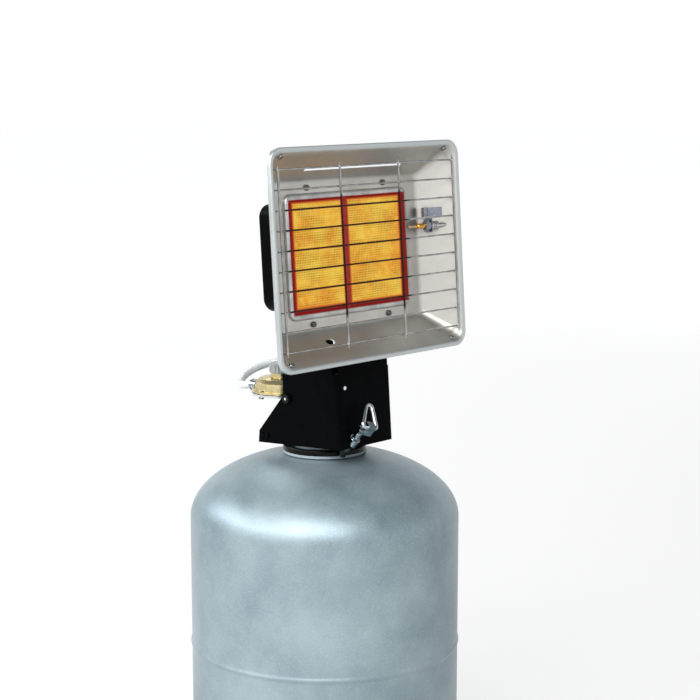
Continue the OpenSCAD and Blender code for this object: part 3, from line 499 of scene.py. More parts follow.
def red_felt():
    """Ceramic felt strip between the plaques, lit dull red from both sides, with loose fibres across it."""
    material, tree, place = new_material("ceramic felt in red glow")
    loose = add(tree, "Mapping", {"Vector": place, "Scale": (1100, 1100, 280)})
    fibres = add(tree, "TexNoise", {"Vector": loose, "Scale": 1.0, "Detail": 4.0})
    share = add(tree, "MapRange", {"Value": fibres, "From Min": 0.35, "From Max": 0.65})
    colour = add(tree, "Mix", {0: share, 6: linear("#821018"), 7: linear("#A82420")}, 2, data_type="RGBA")
    bump = add(tree, "Bump", {"Height": fibres, "Distance": 0.3 * MM})
    surface = add(tree, "BsdfPrincipled", {
        "Base Color": linear("#3A1010"), "Roughness": 0.95, "Normal": bump,
        "Emission Color": colour, "Emission Strength": 0.85})
    add(tree, "OutputMaterial", {"Surface": surface})
    return material


def surround_steel():
    """Aluminised steel round the plaques: satin grey, and lit red by the glow on the walls of its opening."""
    material, tree, place = new_material("aluminised steel round the glow")
    cloud = add(tree, "TexNoise", {"Vector": place, "Scale": 1000 / 22, "Detail": 5.0})
    share = add(tree, "MapRange", {"Value": cloud, "From Min": 0.4, "From Max": 0.6})
    base = add(tree, "Mix", {0: share, 6: linear("#C3C4C2"), 7: linear("#A9ABAA")}, 2, data_type="RGBA")
    lit = add(tree, "Attribute", out="Fac", attribute_name="glow_share")
    rough = add(tree, "MapRange", {"Value": share, "To Min": 0.32, "To Max": 0.44})
    glow = add(tree, "Math", {0: lit, 1: 0.62}, operation="MULTIPLY")
    base = add(tree, "Mix", {0: lit, 6: base, 7: linear("#30080A")}, 2, data_type="RGBA")
    metal = add(tree, "MapRange", {"Value": lit, "To Min": 1.0, "To Max": 0.2})
    grains = add(tree, "TexNoise", {"Vector": place, "Scale": 1000 / 0.7, "Detail": 2.0})
    bump = add(tree, "Bump", {"Height": grains, "Distance": 0.006 * MM})
    surface = add(tree, "BsdfPrincipled", {
        "Base Color": base, "Metallic": metal, "Roughness": rough, "Normal": bump,
        "Emission Color": linear("#8A1418"), "Emission Strength": glow})
    add(tree, "OutputMaterial", {"Surface": surface})
    return material


def bottle_paint():
    """Aluminium paint on rolled steel: fine flake, a soft broad shine, the orange peel of a spray gun, dull
    scuffs and small bright chips."""
    material, tree, place = new_material("aluminium paint on steel")
    cloud = add(tree, "TexNoise", {"Vector": place, "Scale": 1000 / 150, "Detail": 6.0, "Roughness": 0.6})
    share = add(tree, "MapRange", {"Value": cloud, "From Min": 0.36, "From Max": 0.64})
    base = add(tree, "Mix", {0: share, 6: linear("#74868E"), 7: linear("#98A8AE")}, 2, data_type="RGBA")
    flake = add(tree, "TexNoise", {"Vector": place, "Scale": 1000 / 1.3, "Detail": 1.0})
    sparkle = add(tree, "MapRange", {"Value": flake, "From Min": 0.5, "From Max": 0.74, "To Max": 0.22})
    base = add(tree, "Mix", {0: sparkle, 6: base, 7: linear("#C0CDD3")}, 2, data_type="RGBA")
    wiped = add(tree, "Mapping", {"Vector": place, "Scale": (60, 60, 130)})
    worn = add(tree, "TexNoise", {"Vector": wiped, "Scale": 1.0, "Detail": 9.0, "Roughness": 0.75})
    scuffs = add(tree, "MapRange", {"Value": worn, "From Min": 0.6, "From Max": 0.7, "To Max": 0.45})
    base = add(tree, "Mix", {0: scuffs, 6: base, 7: linear("#7F8F97")}, 2, data_type="RGBA")
    chips = add(tree, "TexVoronoi", {"Vector": place, "Scale": 1000 / 11, "Randomness": 1.0})
    chip = add(tree, "MapRange", {"Value": chips, "From Min": 0.04, "From Max": 0.07,
                                  "To Min": 0.35, "To Max": 0.0})
    chip = add(tree, "Math", {0: chip, 1: share}, operation="MULTIPLY")
    base = add(tree, "Mix", {0: chip, 6: base, 7: linear("#DDE6EA")}, 2, data_type="RGBA")
    rough = add(tree, "MapRange", {"Value": share, "To Min": 0.39, "To Max": 0.46})
    rough = add(tree, "Math", {0: scuffs, 1: 0.3, 2: rough}, operation="MULTIPLY_ADD")
    swell = add(tree, "TexNoise", {"Vector": place, "Scale": 1000 / 26, "Detail": 2.0})
    low = add(tree, "Bump", {"Height": swell, "Distance": 0.35 * MM})
    peel = add(tree, "TexNoise", {"Vector": place, "Scale": 1000 / 2.6, "Detail": 2.0})
    bump = add(tree, "Bump", {"Height": peel, "Distance": 0.035 * MM, "Normal": low})
    surface = add(tree, "BsdfPrincipled", {
        "Base Color": base, "Metallic": 0.52, "Roughness": rough, "Normal": bump,
        "Specular IOR Level": 0.3, "Coat Weight": 0.08, "Coat Roughness": 0.3})
    add(tree, "OutputMaterial", {"Surface": surface})
    return material


def rubbed(piece, axis, radius):
    """Phosphated steel heads at the far ends of that axis, black outside that radius in mm, with a painted
    glint inside it: a bright metal spot that stands in for a highlight. In mirrored coordinates the two sides
    are one."""
    places = abs(points_of(piece.data))
    middle = places[places[:, axis] > places[:, axis].max() - 0.5 * MM].mean(0).tolist()
    material, tree, place = new_material("phosphated steel with a painted glint")
    mirrored = add(tree, "VectorMath", {0: place}, "Vector", operation="ABSOLUTE")
    away = add(tree, "VectorMath", {0: mirrored, 1: middle}, "Value", operation="DISTANCE")
    share = add(tree, "MapRange", {"Value": away, "From Min": (radius - 0.3) * MM,
                                   "From Max": (radius + 0.3) * MM, "To Min": 1.0, "To Max": 0.0})
    base = add(tree, "Mix", {0: share, 6: linear("#101112"), 7: linear("#DDE0E1")}, 2, data_type="RGBA")
    rough = add(tree, "MapRange", {"Value": share, "To Min": 0.5, "To Max": 0.2})
    surface = add(tree, "BsdfPrincipled", {
        "Base Color": base, "Metallic": share, "Roughness": rough, "Specular IOR Level": 0.1})
    add(tree, "OutputMaterial", {"Surface": surface})
    return material


MATERIALS = {
    "bottle_paint": bottle_paint(),
    # stove enamel over pressed steel: a deep black that shows little but its edges
    "black_enamel": finish("black stove enamel", ("#030405", "#050607"), 0.0, (0.32, 0.42), 30, 2.2, 0.012,
                           specular=0.015, scuff="#0A0B0C"),
    # turned and passivated brass: a pale straw yellow, browner where hands have been
    "brass": finish("turned brass", ("#D0C397", "#B5A578"), 1.0, (0.24, 0.36), 9, 0.35, 0.006,
                    scuff="#6E5C34"),
    # bare turned steel: mid grey with fine tool marks round it
    "steel": finish("turned steel", ("#A9ABAC", "#8E9193"), 1.0, (0.28, 0.42), 8, 0.4, 0.008,
                    scuff="#6D6A66"),
    # zinc plating: whiter and bluer than steel, slightly cloudy
    "zinc_plate": finish("bright zinc plate", ("#B9BFC3", "#8D959A"), 1.0, (0.07, 0.15), 5, 0.5, 0.004),
    # drawn wire: bright, with painted shade: dark brown where the wires stand against the plaques' glow
    "bright_wire": finish("bright drawn wire", ("#A8A9A8", "#858788"), 1.0, (0.16, 0.26), 14, 0.6, 0.004,
                          scuff="#7A7872", attribute="blued", attribute_tone="#3D211C"),
    # aluminised sheet, pressed and wiped: soft streaks along the draw, a milky grey shine and a cooler rim
    "polished_steel": finish("pressed aluminised steel", ("#BFBDB8", "#B2B0AB"), 1.0, (0.34, 0.44), 60, 0.8,
                             0.006, (1, 6, 14), attribute="rim_share", attribute_tone="#B4BABB"),
    # pressure cast aluminium: light grey and slightly rough
    "aluminium": finish("pressure cast aluminium", ("#C9CCCD", "#B4B8BA"), 1.0, (0.36, 0.48), 12, 0.8, 0.02),
    # moulded nylon: black with a dull shine
    "black_plastic": finish("moulded black nylon", ("#121314", "#191A1B"), 0.0, (0.4, 0.5), 20, 0.7, 0.02),
    # moulded ABS with a metallic grey pigment
    "grey_plastic": finish("moulded grey ABS", ("#9EA3A1", "#868C8B"), 0.35, (0.3, 0.4), 14, 0.6, 0.015,
                           scuff="#6E7272"),
    # moulded ABS, signal red and glossy
    "red_plastic": finish("moulded red ABS", ("#A81A18", "#931412"), 0.0, (0.22, 0.3), 10, 0.8, 0.01),
    # nitrile rubber: black and matt
    "black_rubber": finish("nitrile rubber", ("#161616", "#1E1E1E"), 0.0, (0.6, 0.7), 8, 0.6, 0.03),
    # extruded hose: pale milky grey with a soft gloss
    "hose_rubber": finish("extruded pale hose", ("#DCE0E1", "#C3C9CB"), 0.0, (0.22, 0.3), 24, 1.4, 0.02,
                          coat=0.35, coat_rough=0.15, scuff="#9DA3A6"),
    # pressed fibre washers: dark and dry
    "friction_fibre": finish("pressed fibre", ("#33322F", "#2A2927"), 0.0, (0.7, 0.85), 4, 0.5, 0.05),
    # ceramic felt: chalky white fibres
    "ceramic_felt": finish("ceramic felt", ("#D8D4C8", "#C9C4B6"), 0.0, (0.9, 0.98), 6, 0.6, 0.12),
    # drawn copper tube, a little brown
    "copper": finish("drawn copper", ("#B8764A", "#9C5F3A"), 1.0, (0.25, 0.38), 10, 0.5, 0.005),
    "glowing_ceramic": glowing_ceramic(),
    "red_ceramic": red_felt(),
}
# enamel on the seat ring, rubbed shiny by the bracket, and the bottle's grey on its weld, which also serves as
# a painted highlight along the ring's foot
SEAT_ENAMEL = finish("rubbed black enamel", ("#050607", "#0A0B0C"), 0.0, (0.16, 0.26), 20, 2.0, 0.01,
                     coat=0.05, coat_rough=0.06, specular=0.06, scuff="#1A1C1E", attribute="painted",
                     attribute_tone="#97A4AA")
# the rod is brass, its tip is discoloured by the flame, and its collar and its bush in the wall are bare steel
PROBE = finish("brass with blued steel ends", ("#D9A95C", "#C08A42"), 1.0, (0.2, 0.32), 6, 0.4, 0.004,
               attribute="steel_share", attribute_tone="#B2B1AF")
# spring steel by the flame: a blue grey temper colour
TEMPERED = finish("tempered spring steel", ("#8F949E", "#787C87"), 1.0, (0.22, 0.34), 7, 0.5, 0.006)
# steel screws by the plaques: a dark brown grey scale
SCALED = finish("heat-scaled steel", ("#64615F", "#4B4947"), 1.0, (0.28, 0.4), 4, 0.5, 0.006)
# zinc plate with painted shade: darker towards the screw's tip and on its pad, where the screw stands in shade
SHADED_ZINC = finish("zinc plate with painted shade", ("#B9BFC3", "#8D959A"), 1.0, (0.07, 0.15), 5, 0.5, 0.004,
               attribute="tip_shade_share", attribute_tone="#26282A")
SURROUND = surround_steel()
SLOTS = {part["node"]: part["material_slot"] for part in frame["record"]["subparts"]}
for node, slot in SLOTS.items():
    shape = frame["nodes"][node].data
    shape.materials.clear()
    shape.materials.append(MATERIALS[slot])


# ---- gas hose ----
HOSE_R = 4.5
# where it leaves the regulator, above the dome's top, and where it enters the gas valve, in the leaned heater
OUTLET = np.array([0, REGULATOR_Y + 33, PORT_Z - 3.5])
INLET = np.array([118, RIM_Y + HOUSING_BACK - 12, HEAD_Z - 53])


def below_inlet(h):
    """Point that far below the head's inlet, in the leaned heater, as a point above the dome's top in mm."""
    return leaned(INLET - [0, 0, h]) / MM - [0, 0, NECK_Z]


# the route's control points, from the regulator's outlet and back from the head's inlet, above the dome's top
HOSE_PULL = np.array([
    *(OUTLET + q for q in ([0, 2, 0], [0, 10, 0], [0, 18, 0], [1.4, 31.5, -3.7], [13.1, 50.5, -5.1],
                           [38, 63.9, 4.7], [74.5, 49.8, 16.1])),
    *(below_inlet(0) + q for q in ([-19.9, 110, -85.1], [-6.9, 46.1, -71.6], [-1.1, 5.3, -48.9])),
    below_inlet(24.5), below_inlet(14.5), below_inlet(4.5)])
hose_line = np.vstack([OUTLET + [0, 4, 0], drawn(HOSE_PULL, 16), below_inlet(14.5), below_inlet(1.7)])
hose_points = neck(tube_points(hose_line, HOSE_R, [0.6, -0.1, -0.8], 28))
hose = make("gas_hose", hose_points, tube(hose_points), None, "hose_rubber", ["hose"])
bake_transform(hose)


# ---- bottle ----
BEAD_H, BEAD_HALF = 1.2, 2.6


def bottle_profile():
    """Half section: two ellipses of half height DOME_H, joined by a straight wall with a weld bead of
    BEAD_H exp(-(z / BEAD_HALF)^2), and the same ellipses BOTTLE_T inside."""
    mid = (WALL_LOW + WALL_TOP) / 2
    low = np.linspace(-math.pi / 2, 0, 40)
    high = np.linspace(0, math.acos(BUNG_R / BOTTLE_R), 48)
    bead_z = np.linspace(-6, 6, 17)
    bead = BEAD_H * np.exp(-(bead_z / BEAD_HALF) ** 2)
    outer = np.vstack([
        np.c_[BOTTLE_R * np.cos(low), WALL_LOW + DOME_H * np.sin(low)],
        np.c_[[BOTTLE_R] * 3, np.linspace(WALL_LOW + 30, mid - 8, 3)],
        np.c_[BOTTLE_R + bead, mid + bead_z],
        np.c_[[BOTTLE_R] * 3, np.linspace(mid + 8, WALL_TOP - 30, 3)],
        np.c_[BOTTLE_R * np.cos(high), WALL_TOP + DOME_H * np.sin(high)]])
    r, h = BOTTLE_R - BOTTLE_T, DOME_H - BOTTLE_T
    inner_high = np.linspace(math.acos(BUNG_R / r), 0, 20)
    inner_low = np.linspace(0, -math.pi / 2, 20)
    inner = np.vstack([np.c_[r * np.cos(inner_high), WALL_TOP + h * np.sin(inner_high)],
                       np.c_[r * np.cos(inner_low), WALL_LOW + h * np.sin(inner_low)]])
    profile = np.vstack([outer, inner])
    profile[0, 0] = profile[-1, 0] = 0
    return profile


turned("bottle", bottle_profile(), 256, lambda p: p * MM, "stand", "bottle_paint", ["bottle_shell"])


def dome_top(r):
    """Height of the upper dome's outside above its top, at a radius."""
    return DOME_H * (math.sqrt(1 - (r / BOTTLE_R) ** 2) - 1)


# ---- seat ring ----
# its lowest stretch is the weld that holds it, a step wider than the ring and coloured the bottle's grey, which
# also serves as a painted highlight along the ring's foot
WELD_H, WELD_STEP, SEAT_STEPS = 3.0, 0.8, 192
seat_in = COLLAR_R + 0.4
seat_low = dome_top(seat_in) + 0.3
weld_top = seat_low + WELD_H
ring_r = SEAT_R - WELD_STEP
seat_profile = rounded([
    [seat_in, seat_low], [SEAT_R, seat_low], [SEAT_R, weld_top], [ring_r, weld_top + 0.3],
    [ring_r, SEAT_TOP], [seat_in, SEAT_TOP]], [0.3, 0.8, 0.8, 0.2, 3.0, 1.0], steps=8)
seat = turned("seat_ring_rounded", seat_profile, SEAT_STEPS, neck, "stand", "black_enamel", ["seat_ring"])
in_weld = seat_profile[:, 1] < weld_top + 0.1
mark(seat, "painted", np.repeat(in_weld.astype(float), SEAT_STEPS))
seat.data.materials[0] = SEAT_ENAMEL

# ---- reflector ----
reflector = pressed("reflector_pan", [
    [BURNER_W - 6, PLAQUE_H - 4, 5, DEPTH],
    [FLOOR_W, FLOOR_H, FLOOR_R, DEPTH],
    [MOUTH_W, MOUTH_H, MOUTH_R, 0.6],
    [RIM_W - 2, RIM_H - 2, MOUTH_R + 4, 0],
    [RIM_W, RIM_H, MOUTH_R + 5, 1],
    [RIM_W, RIM_H, MOUTH_R + 5, 5],
    [RIM_W - 2, RIM_H - 2, MOUTH_R + 4, 5],
    [RIM_W - 2, RIM_H - 2, MOUTH_R + 4, 1.6],
    [MOUTH_W + 2.6, MOUTH_H + 2.6, MOUTH_R + 1.2, 1.6],
    [FLOOR_W + 2.4, FLOOR_H + 2.4, FLOOR_R + 1.2, DEPTH + 1],
    [BURNER_W - 6, PLAQUE_H - 4, 5, DEPTH + 1]],
    [0.1, 3.5, 2.2, 1.2, 1.2, 0.4, 0.4, 0.8, 2.2, 3.5, 0.1], "polished_steel", ["reflector"], 5)


def slot_cutter(x, y, z_sign, length, width):
    """A stadium of that length and width, square to the sloping top or bottom wall and 7 mm past it."""
    slope = math.atan2((MOUTH_H - FLOOR_H) / 2, DEPTH)
    t = np.linspace(-math.pi / 2, math.pi / 2, 9)
    right_end = np.c_[(length - width) / 2 + width / 2 * np.cos(t), width / 2 * np.sin(t)]
    ring = np.vstack([right_end, -right_end])
    h = np.array([[-7.0], [7.0]])
    a, b = ring.T[:, None] + 0 * h
    c, s = math.cos(slope), math.sin(slope)
    points = np.stack([x + a, y + b * c + h * s, z_sign * (wall_z(y) - b * s + h * c)], -1)
    return show("cutter", closed_mesh("cutter", head(points), tube(points)))


cut(reflector, [slot_cutter(0, 24, 1, 151, 5.4), slot_cutter(-50, 23.5, -1, 13, 8)])
# the rim lies outside the mouth, which is a rectangle whose corners are circles of MOUTH_R
x, _, height = head_places(reflector)
past_x = np.maximum(abs(x) - MOUTH_W / 2 + MOUTH_R, 0)
past_z = np.maximum(abs(height) - MOUTH_H / 2 + MOUTH_R, 0)
mark(reflector, "rim_share", (np.hypot(past_x, past_z) > MOUTH_R - 0.4).astype(float))

# ---- guard ----
LEVEL_Y, LEVEL_R, LEVEL_COUNT, PITCH = 3.2, 1.0, 10, 20.7
UPRIGHT_Y, UPRIGHT_R = 0.95, 1.2
UPRIGHT_X = [-136, -45.6, 45.6, 136]
levels = (np.arange(LEVEL_COUNT) - (LEVEL_COUNT - 1) / 2) * PITCH
# the level wires end just short of the side walls, and the upright ones 5 mm past the last level wire
half_w = wall_x(2.8) - 0.6
half_h = levels[-1] + 5


def blued(piece):
    """Marks the stretch of the wires that is painted dark as shade, where they stand against the plaques' glow,
    fading over 6 mm at its edges.
    """
    x, _, height = head_places(piece)
    mark(piece, "blued", band(x, -126, 58, 6) * band(height, -62, 62, 6))


level_wires = [wire([-half_w, LEVEL_Y, z], [half_w, LEVEL_Y, z], LEVEL_R) for z in levels]
blued(bundle("guard_level_wires", level_wires, "bright_wire", ["guard_cross_wires"]))
standing = [wire([x, UPRIGHT_Y, -half_h], [x, UPRIGHT_Y, half_h], UPRIGHT_R) for x in UPRIGHT_X]
standing += [nugget([x, (LEVEL_Y + UPRIGHT_Y) / 2, z], [1.5, 1.3, 1.3]) for x in UPRIGHT_X for z in levels]
blued(bundle("guard_standing_wires", standing, "bright_wire", ["guard_upright_wires"]))


# ---- burner ----
HOLES_X, HOLES_Z, HOLE_R, HOLE_DEPTH = 37, 50, 0.78, 2.6
GLOW_FALL = 5.2


def plaque(name, centre, side, node):
    """A plaque whose face is a sheet of square cells, each with an eight-sided hole that sinks straight in.
    glow_share falls from 1 to 0 over the GLOW_FALL mm before the felt; hole_share is 1 in the holes."""
    nx, nz = HOLES_X, HOLES_Z
    px, pz = PLAQUE_W / nx, PLAQUE_H / nz
    a = np.arange(8) * math.pi / 4
    square = np.sign(np.round(np.c_[np.cos(a), np.sin(a)], 6)) / 2
    circle = np.c_[np.cos(a), np.sin(a)]
    i, k = np.meshgrid(np.arange(nx), np.arange(nz), indexing="ij")
    cx = ((i + 0.5) * px - PLAQUE_W / 2).ravel()[:, None]
    cz = ((k + 0.5) * pz - PLAQUE_H / 2).ravel()[:, None]

    def cell(shape, wx, wz, y):
        """That outline round every cell's middle, scaled by wx and wz, at a depth y."""
        return np.stack([cx + shape[:, 0] * wx, np.full((nx * nz, len(shape)), y), cz + shape[:, 1] * wz], -1)

    floor_r, floor_y = HOLE_R * 0.9, PLAQUE_Y + HOLE_DEPTH
    rings = [cell(square, px, pz, PLAQUE_Y), cell(circle, HOLE_R, HOLE_R, PLAQUE_Y),
             cell(circle, floor_r, floor_r, floor_y)]
    bottom = cell(np.zeros((1, 2)), 0, 0, floor_y)
    verts = np.concatenate(rings + [bottom], 1)
    m = verts.shape[1]
    j = np.arange(8)
    j2 = (j + 1) % 8
    one = np.vstack([np.c_[j, j2, 8 + j2, 8 + j], np.c_[8 + j, 8 + j2, 16 + j2, 16 + j]])
    fan = np.c_[16 + j, 16 + j2, 24 + 0 * j]
    first = (np.arange(nx * nz) * m)[:, None, None]
    faces = [*(first + one).reshape(-1, 4), *(first + fan).reshape(-1, 3)]
    count = verts.shape[0] * m
    block = np.array([[sx * PLAQUE_W / 2, y, sz * PLAQUE_H / 2] for y in (PLAQUE_Y, PLAQUE_Y + PLAQUE_T)
                      for sx, sz in ((-1, -1), (1, -1), (1, 1), (-1, 1))])
    edge = [[0, 1, 5, 4], [1, 2, 6, 5], [2, 3, 7, 6], [3, 0, 4, 7], [4, 5, 6, 7]]
    faces += [np.array(e)[::-1] + count for e in edge]
    points = np.vstack([verts.reshape(-1, 3), block])
    x, z = points[:, 0], points[:, 2]
    # how far inside the glowing area a point lies: the left plaque's cold border is the wider one
    border = 12.5 if side < 0 else 4.5
    across = np.where(side * x > 0, PLAQUE_W / 2 - border - np.abs(x), PLAQUE_W / 2 + 0.2 - np.abs(x))
    upwards = np.where(z < 0, PLAQUE_H / 2 - 5.5 + z, PLAQUE_H / 2 - 3.5 - z)
    glow = np.clip(np.minimum(across, upwards) / GLOW_FALL, 0, 1)
    hole = np.concatenate([np.tile(np.r_[np.zeros(8), np.full(8, 0.5), np.ones(9)], nx * nz), np.zeros(8)])
    points[:, 0] += centre
    piece = make(name, head(points), faces, None, "glowing_ceramic", [node], smooth=False)
    mark(piece, "glow_share", glow)
    mark(piece, "hole_share", hole)
    bm = bmesh.new()
    bm.from_mesh(piece.data)
    bmesh.ops.remove_doubles(bm, verts=bm.verts, dist=1e-6)
    bm.to_mesh(piece.data)
    bm.free()
    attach(piece, "head")


plaque("burner_plaque_left", -(PLAQUE_W + PLAQUE_GAP) / 2, -1, "plaque_left")
plaque("burner_plaque_right", (PLAQUE_W + PLAQUE_GAP) / 2, 1, "plaque_right")

frame_w, frame_h = BURNER_W + 1.6, PLAQUE_H + 7
open_w, open_h = BURNER_W - 8, PLAQUE_H - 6
lip = DEPTH - 3.6
surround = pressed("burner_surround", [
    [open_w, open_h, 5, lip], [frame_w - 4, frame_h - 4, 8, lip], [frame_w, frame_h, 10, lip + 2],
    [frame_w, frame_h, 10, DEPTH - 0.1], [frame_w - 2, frame_h - 2, 9, DEPTH - 0.1],
    [frame_w - 2, frame_h - 2, 9, lip + 2.4], [open_w + 2, open_h + 2, 6, lip + 1],
    [open_w + 2, open_h + 2, 6, DEPTH + 1], [open_w, open_h, 5, DEPTH + 1]],
    [1.2, 1.5, 1.2, 0.2, 0.2, 0.6, 0.6, 0.2, 0.2], "polished_steel", ["burner_frame"], 3)
# the walls of its opening catch the glow
x, _, height = head_places(surround)
edge_x, edge_z = open_w / 2 + 0.5, open_h / 2 + 0.5
mark(surround, "glow_share", band(x, -edge_x, edge_x, 0.3) * band(height, -edge_z, edge_z, 0.3))
surround.data.materials[0] = SURROUND

tray = PLAQUE_Y + 15.2
housing_w, housing_h = BURNER_W - 0.6, PLAQUE_H - 12
inner_w, inner_h = housing_w - 3, housing_h - 3


def casing():
    """The housing's 1.5 mm skin: a flange, the tray round the plaques, a step and a rounded box behind."""
    q = rounded([
        [inner_w - 14, inner_h - 14, 8, HOUSING_BACK - 1.5],
        [inner_w - 5, inner_h - 5, 11, HOUSING_BACK - 1.5], [inner_w, inner_h, 13, HOUSING_BACK - 4],
        [inner_w, inner_h, 13, tray], [BURNER_W + 0.6, PLAQUE_H + 0.6, 0.3, tray],
        [BURNER_W + 0.6, PLAQUE_H + 0.6, 0.3, DEPTH + 1.1], [BURNER_W + 18, PLAQUE_H + 24, 6, DEPTH + 1.1],
        [BURNER_W + 18, PLAQUE_H + 24, 6, DEPTH + 2.3], [BURNER_W + 3, PLAQUE_H + 3, 4, DEPTH + 2.3],
        [BURNER_W + 3, PLAQUE_H + 3, 4, tray + 1.5], [housing_w, housing_h, 14, tray + 1.5],
        [housing_w, housing_h, 14, HOUSING_BACK - 4], [housing_w - 3, housing_h - 3, 13, HOUSING_BACK - 1.2],
        [housing_w - 8, housing_h - 8, 11, HOUSING_BACK], [housing_w - 16, housing_h - 16, 8, HOUSING_BACK]],
        [1, 1, 1, 0.4, 0.1, 0.1, 0.3, 0.3, 0.8, 0.8, 1.0, 1.4, 1.2, 1.2, 1.2], closed=False, steps=3)
    points = lofted(q, 10)
    make("burner_casing", points, tube(points), "head", "black_enamel", ["burner_housing"])


casing()

# ---- thermocouple ----
# half section [r, z] from the tip to the wall: the tip, the thick rod, a collar of three rings and the bush
PROBE_STEPS = 40
probe = np.array([
    [0, -40.5], [1.2, -40.5], [1.5, -40.1], [1.5, -30.2], [2.2, -30], [2.4, -29.8],
    [3.1, -28.4], [3.1, -28.2], [3.1, -15], [3.1, -12.9],
    [4.7, -12.8], [5, -12.5], [5, -10.4], [4.7, -10.1], [4.4, -10],
    [4.4, -9.7], [4.9, -9.6], [4.9, -7.8], [4.4, -7.7], [4.4, -7.4],
    [4.7, -7.3], [5, -7], [5, -5], [4.7, -4.6],
    [3.1, -4.5], [3.1, 7.6], [2.8, 8], [0, 8]])
rod = turned("thermocouple_rod", probe, PROBE_STEPS, thermocouple, "head", "brass", ["thermocouple"])
rod.data.set_sharp_from_angle(angle=math.radians(35))
steel_share = np.where(probe[1:-1, 1] < -31, 0.6, probe[1:-1, 1] > -15)
mark(rod, "steel_share", np.r_[np.repeat(steel_share, PROBE_STEPS), 1, 1])
rod.data.materials[0] = PROBE

# ---- clamp loop ----
LOOP_ROD_R, EYE_X, EYE_AT = 2.5, 6.5, 50.0
LOOP_LEAN, EYE_TURN = math.radians(72), math.radians(-25)


def arc(centre, r, start, end, steps):
    """Points of a circular arc between two angles in degrees."""
    a = np.radians(np.linspace(start, end, steps))
    return np.c_[centre[0] + r * np.cos(a), centre[1] + r * np.sin(a)]


def loop(p):
    """Points of the loop handle: its straight base lies along x through the eye, the loop stands up in y."""
    across = p[..., 0] + EYE_X
    out = p[..., 1] * math.sin(LOOP_LEAN) + p[..., 2] * math.cos(LOOP_LEAN)
    along = p[..., 1] * math.cos(LOOP_LEAN) - p[..., 2] * math.sin(LOOP_LEAN)
    c, s = math.cos(EYE_TURN), math.sin(EYE_TURN)
    return clamp(np.stack([across * c - out * s, across * s + out * c, along + EYE_AT], -1))


# the rod's middle line: a bend at each lower corner, one at the top and the straight base through the eye
bend = np.vstack([arc([4.4, 3.6], 3.6, -90, 15, 10), arc([0, 23], 4, 20, 160, 16),
                  arc([-4.4, 3.6], 3.6, 165, 270, 10), [[-2, 0], [0, 0], [2, 0]]])
bend = np.c_[bend, np.zeros(len(bend))]
ahead = np.roll(bend, -1, 0) - np.roll(bend, 1, 0)
ahead /= np.linalg.norm(ahead, axis=1, keepdims=True)
outward = np.cross(ahead, [0, 0, 1])
t = np.linspace(0, 2 * math.pi, 20, endpoint=False)[None, :, None]
skin = bend[:, None] + LOOP_ROD_R * (outward[:, None] * np.cos(t) + np.array([0, 0, 1]) * np.sin(t))
skin_faces = grid_faces(*skin.shape[:2], True, True)
make("clamp_loop_rod", loop(skin), skin_faces, "clamp_loop", "zinc_plate", ["clamp_handle"])

# ---- parts whose sharp edges are broken, with the width of the bevel in mm ----
EDGES = {
    "bracket": 0.4, "yoke": 0.4, "collar_strap": 0.4, "tilt_stop": 0.3, "strap_rivets": 0.5,
    "pivot_bolts": 0.5, "pivot_nuts": 0.4, "clamp_bush": 0.4, "clamp_screw": 0.5, "clamp_pad": 0.4,
    "stop_screw": 0.5, "yoke_screws": 0.5, "guard_screws": 0.4, "burner_screws": 0.4, "hose_ferrule": 0.35,
    "head_ferrule": 0.35, "hose_nut": 0.4, "union_nut": 0.5, "outlet_nipple": 0.3, "inlet_stem": 0.3,
    "regulator_body": 0.6, "regulator_cover": 0.5, "regulator_screws": 0.4, "regulator_knob": 0.4,
    "gas_valve": 0.5, "valve_nut": 0.4, "valve_button": 0.5, "valve_body": 0.5, "valve_gland": 0.4,
    "relief_valve": 0.4, "valve_handwheel": 0.8, "handwheel_nut": 0.4, "thermocouple_nut": 0.3,
    "thermocouple_bracket": 0.25, "neck_collar": 0.5, "foot_ring": 0.5}
OTHER_FINISH = {"thermocouple_nut": TEMPERED, "thermocouple_bracket": TEMPERED, "burner_screws": SCALED,
                "clamp_screw": SHADED_ZINC, "clamp_pad": SHADED_ZINC}
# the axis that the heads look along, and the radius of their painted glint in mm
GLINT_HEADS = {"pivot_bolts": (0, 1.3), "stop_screw": (1, 2.0)}


def shade_towards_tip(piece):
    """Painted shade along the clamp screw and its pad: the dark tone's share falls from the tip, 1.6 - along /
    22, held between 0 and 1.
    """
    _, y, z = (points_of(piece.data) / MM).T
    along = (z - NECK_Z - CLAMP_Z) * math.cos(CLAMP_TILT) - (y - CLAMP_Y) * math.sin(CLAMP_TILT)
    mark(piece, "tip_shade_share", np.clip(1.6 - along / 22, 0, 1))


for node, width in EDGES.items():
    edged = softened(node + "_edged", node, SLOTS[node], width)
    if node in OTHER_FINISH:
        edged.data.materials[0] = OTHER_FINISH[node]
    if node in GLINT_HEADS:
        edged.data.materials[0] = rubbed(edged, *GLINT_HEADS[node])
    if OTHER_FINISH.get(node) == SHADED_ZINC:
        shade_towards_tip(edged)


# ---- stage ----
def white_when_seen(tree, shade, white):
    """shade for the light, white where the camera, a reflection or a clear surface looks at it."""
    path = add(tree, "LightPath").node.outputs
    mirrored = add(tree, "Math", {0: path["Is Glossy Ray"], 1: path["Is Transmission Ray"]},
                   operation="MAXIMUM")
    seen = add(tree, "Math", {0: path["Is Camera Ray"], 1: mirrored}, operation="MAXIMUM")
    return add(tree, "MixShader", {0: seen, 1: shade, 2: white})


floor_mesh = bpy.data.meshes.new("floor")
floor_mesh.from_pydata([(-20, -20, 0), (20, -20, 0), (20, 20, 0), (-20, 20, 0)], [], [(0, 1, 2, 3)])
floor = show("floor", floor_mesh)
floor_material = bpy.data.materials.new("pale matt floor")
floor_material.use_nodes = True
tree = floor_material.node_tree
tree.nodes.clear()
matt = add(tree, "BsdfDiffuse", {"Color": linear("#CFCFCF")})
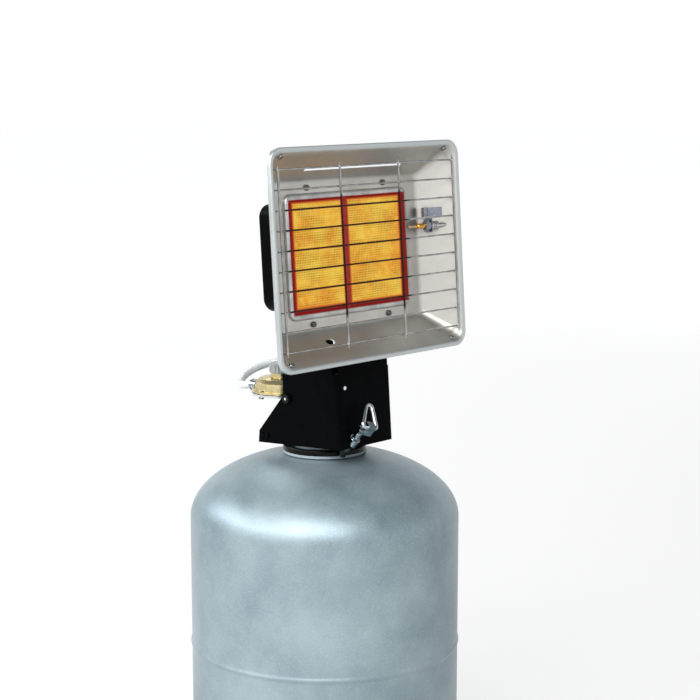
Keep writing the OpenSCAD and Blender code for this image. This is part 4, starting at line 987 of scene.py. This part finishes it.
# the lamps' light fades with distance and the lift grows with it, so the floor meets the white wall unseen
far = add(tree, "VectorMath", {0: add(tree, "TexCoord", out="Object")}, "Value", operation="LENGTH")
strength = add(tree, "MapRange", {"Value": far, "From Min": 0.8, "From Max": 5.0, "To Min": 0.36,
                                  "To Max": 0.87})
lift = add(tree, "Emission", {"Color": linear("#FFFFFF"), "Strength": strength})
lifted = add(tree, "AddShader", {0: matt, 1: lift})
add(tree, "OutputMaterial", {"Surface": white_when_seen(tree, matt, lifted)})
floor_mesh.materials.append(floor_material)

world = bpy.data.worlds.new("studio")
bpy.context.scene.world = world
world.use_nodes = True
tree = world.node_tree
tree.nodes.clear()
room = add(tree, "Background", {"Color": linear("#FBFDFF"), "Strength": 0.2})
height = add(tree, "SeparateXYZ", {0: add(tree, "TexCoord", out="Generated")}, "Z")
# white to a little above eye level and grey overhead, for the polished pieces to mirror
wall_share = add(tree, "MapRange", {"Value": height, "From Min": 0.2, "From Max": 0.75, "To Min": 1.0,
                                    "To Max": 0.0}, interpolation_type="SMOOTHSTEP")
backdrop = add(tree, "Mix", {0: wall_share, 6: linear("#8E9294"), 7: linear("#FFFFFF")}, 2, data_type="RGBA")
white = add(tree, "Background", {"Color": backdrop, "Strength": 1.0})
add(tree, "OutputWorld", {"Surface": white_when_seen(tree, room, white)})


def lamp(name, place, target, size, power):
    """A soft rectangular lamp that looks at the target."""
    data = bpy.data.lights.new(name, "AREA")
    data.shape = "RECTANGLE"
    data.size, data.size_y = size
    data.energy = power
    made = show(name, data)
    made.location = place
    made.rotation_euler = (Vector(target) - Vector(place)).to_track_quat("-Z", "Y").to_euler()


lamp("key_behind", (-1.85, 1.7, 1.8), (0, 0, 0.45), (3.5, 1.0), 66)
lamp("key_front", (-2.05, -1.25, 2.5), (0, 0, 0.45), (3.1, 2.0), 130)
lamp("fill", (1.2, -2.6, 1.0), (0, 0, 0.5), (1.2, 1.2), 1)
lamp("behind", (1.5, 2.1, 2.9), (0, 0, 0.5), (1.6, 1.2), 17)

bpy.context.scene.view_settings.view_transform = "Standard"
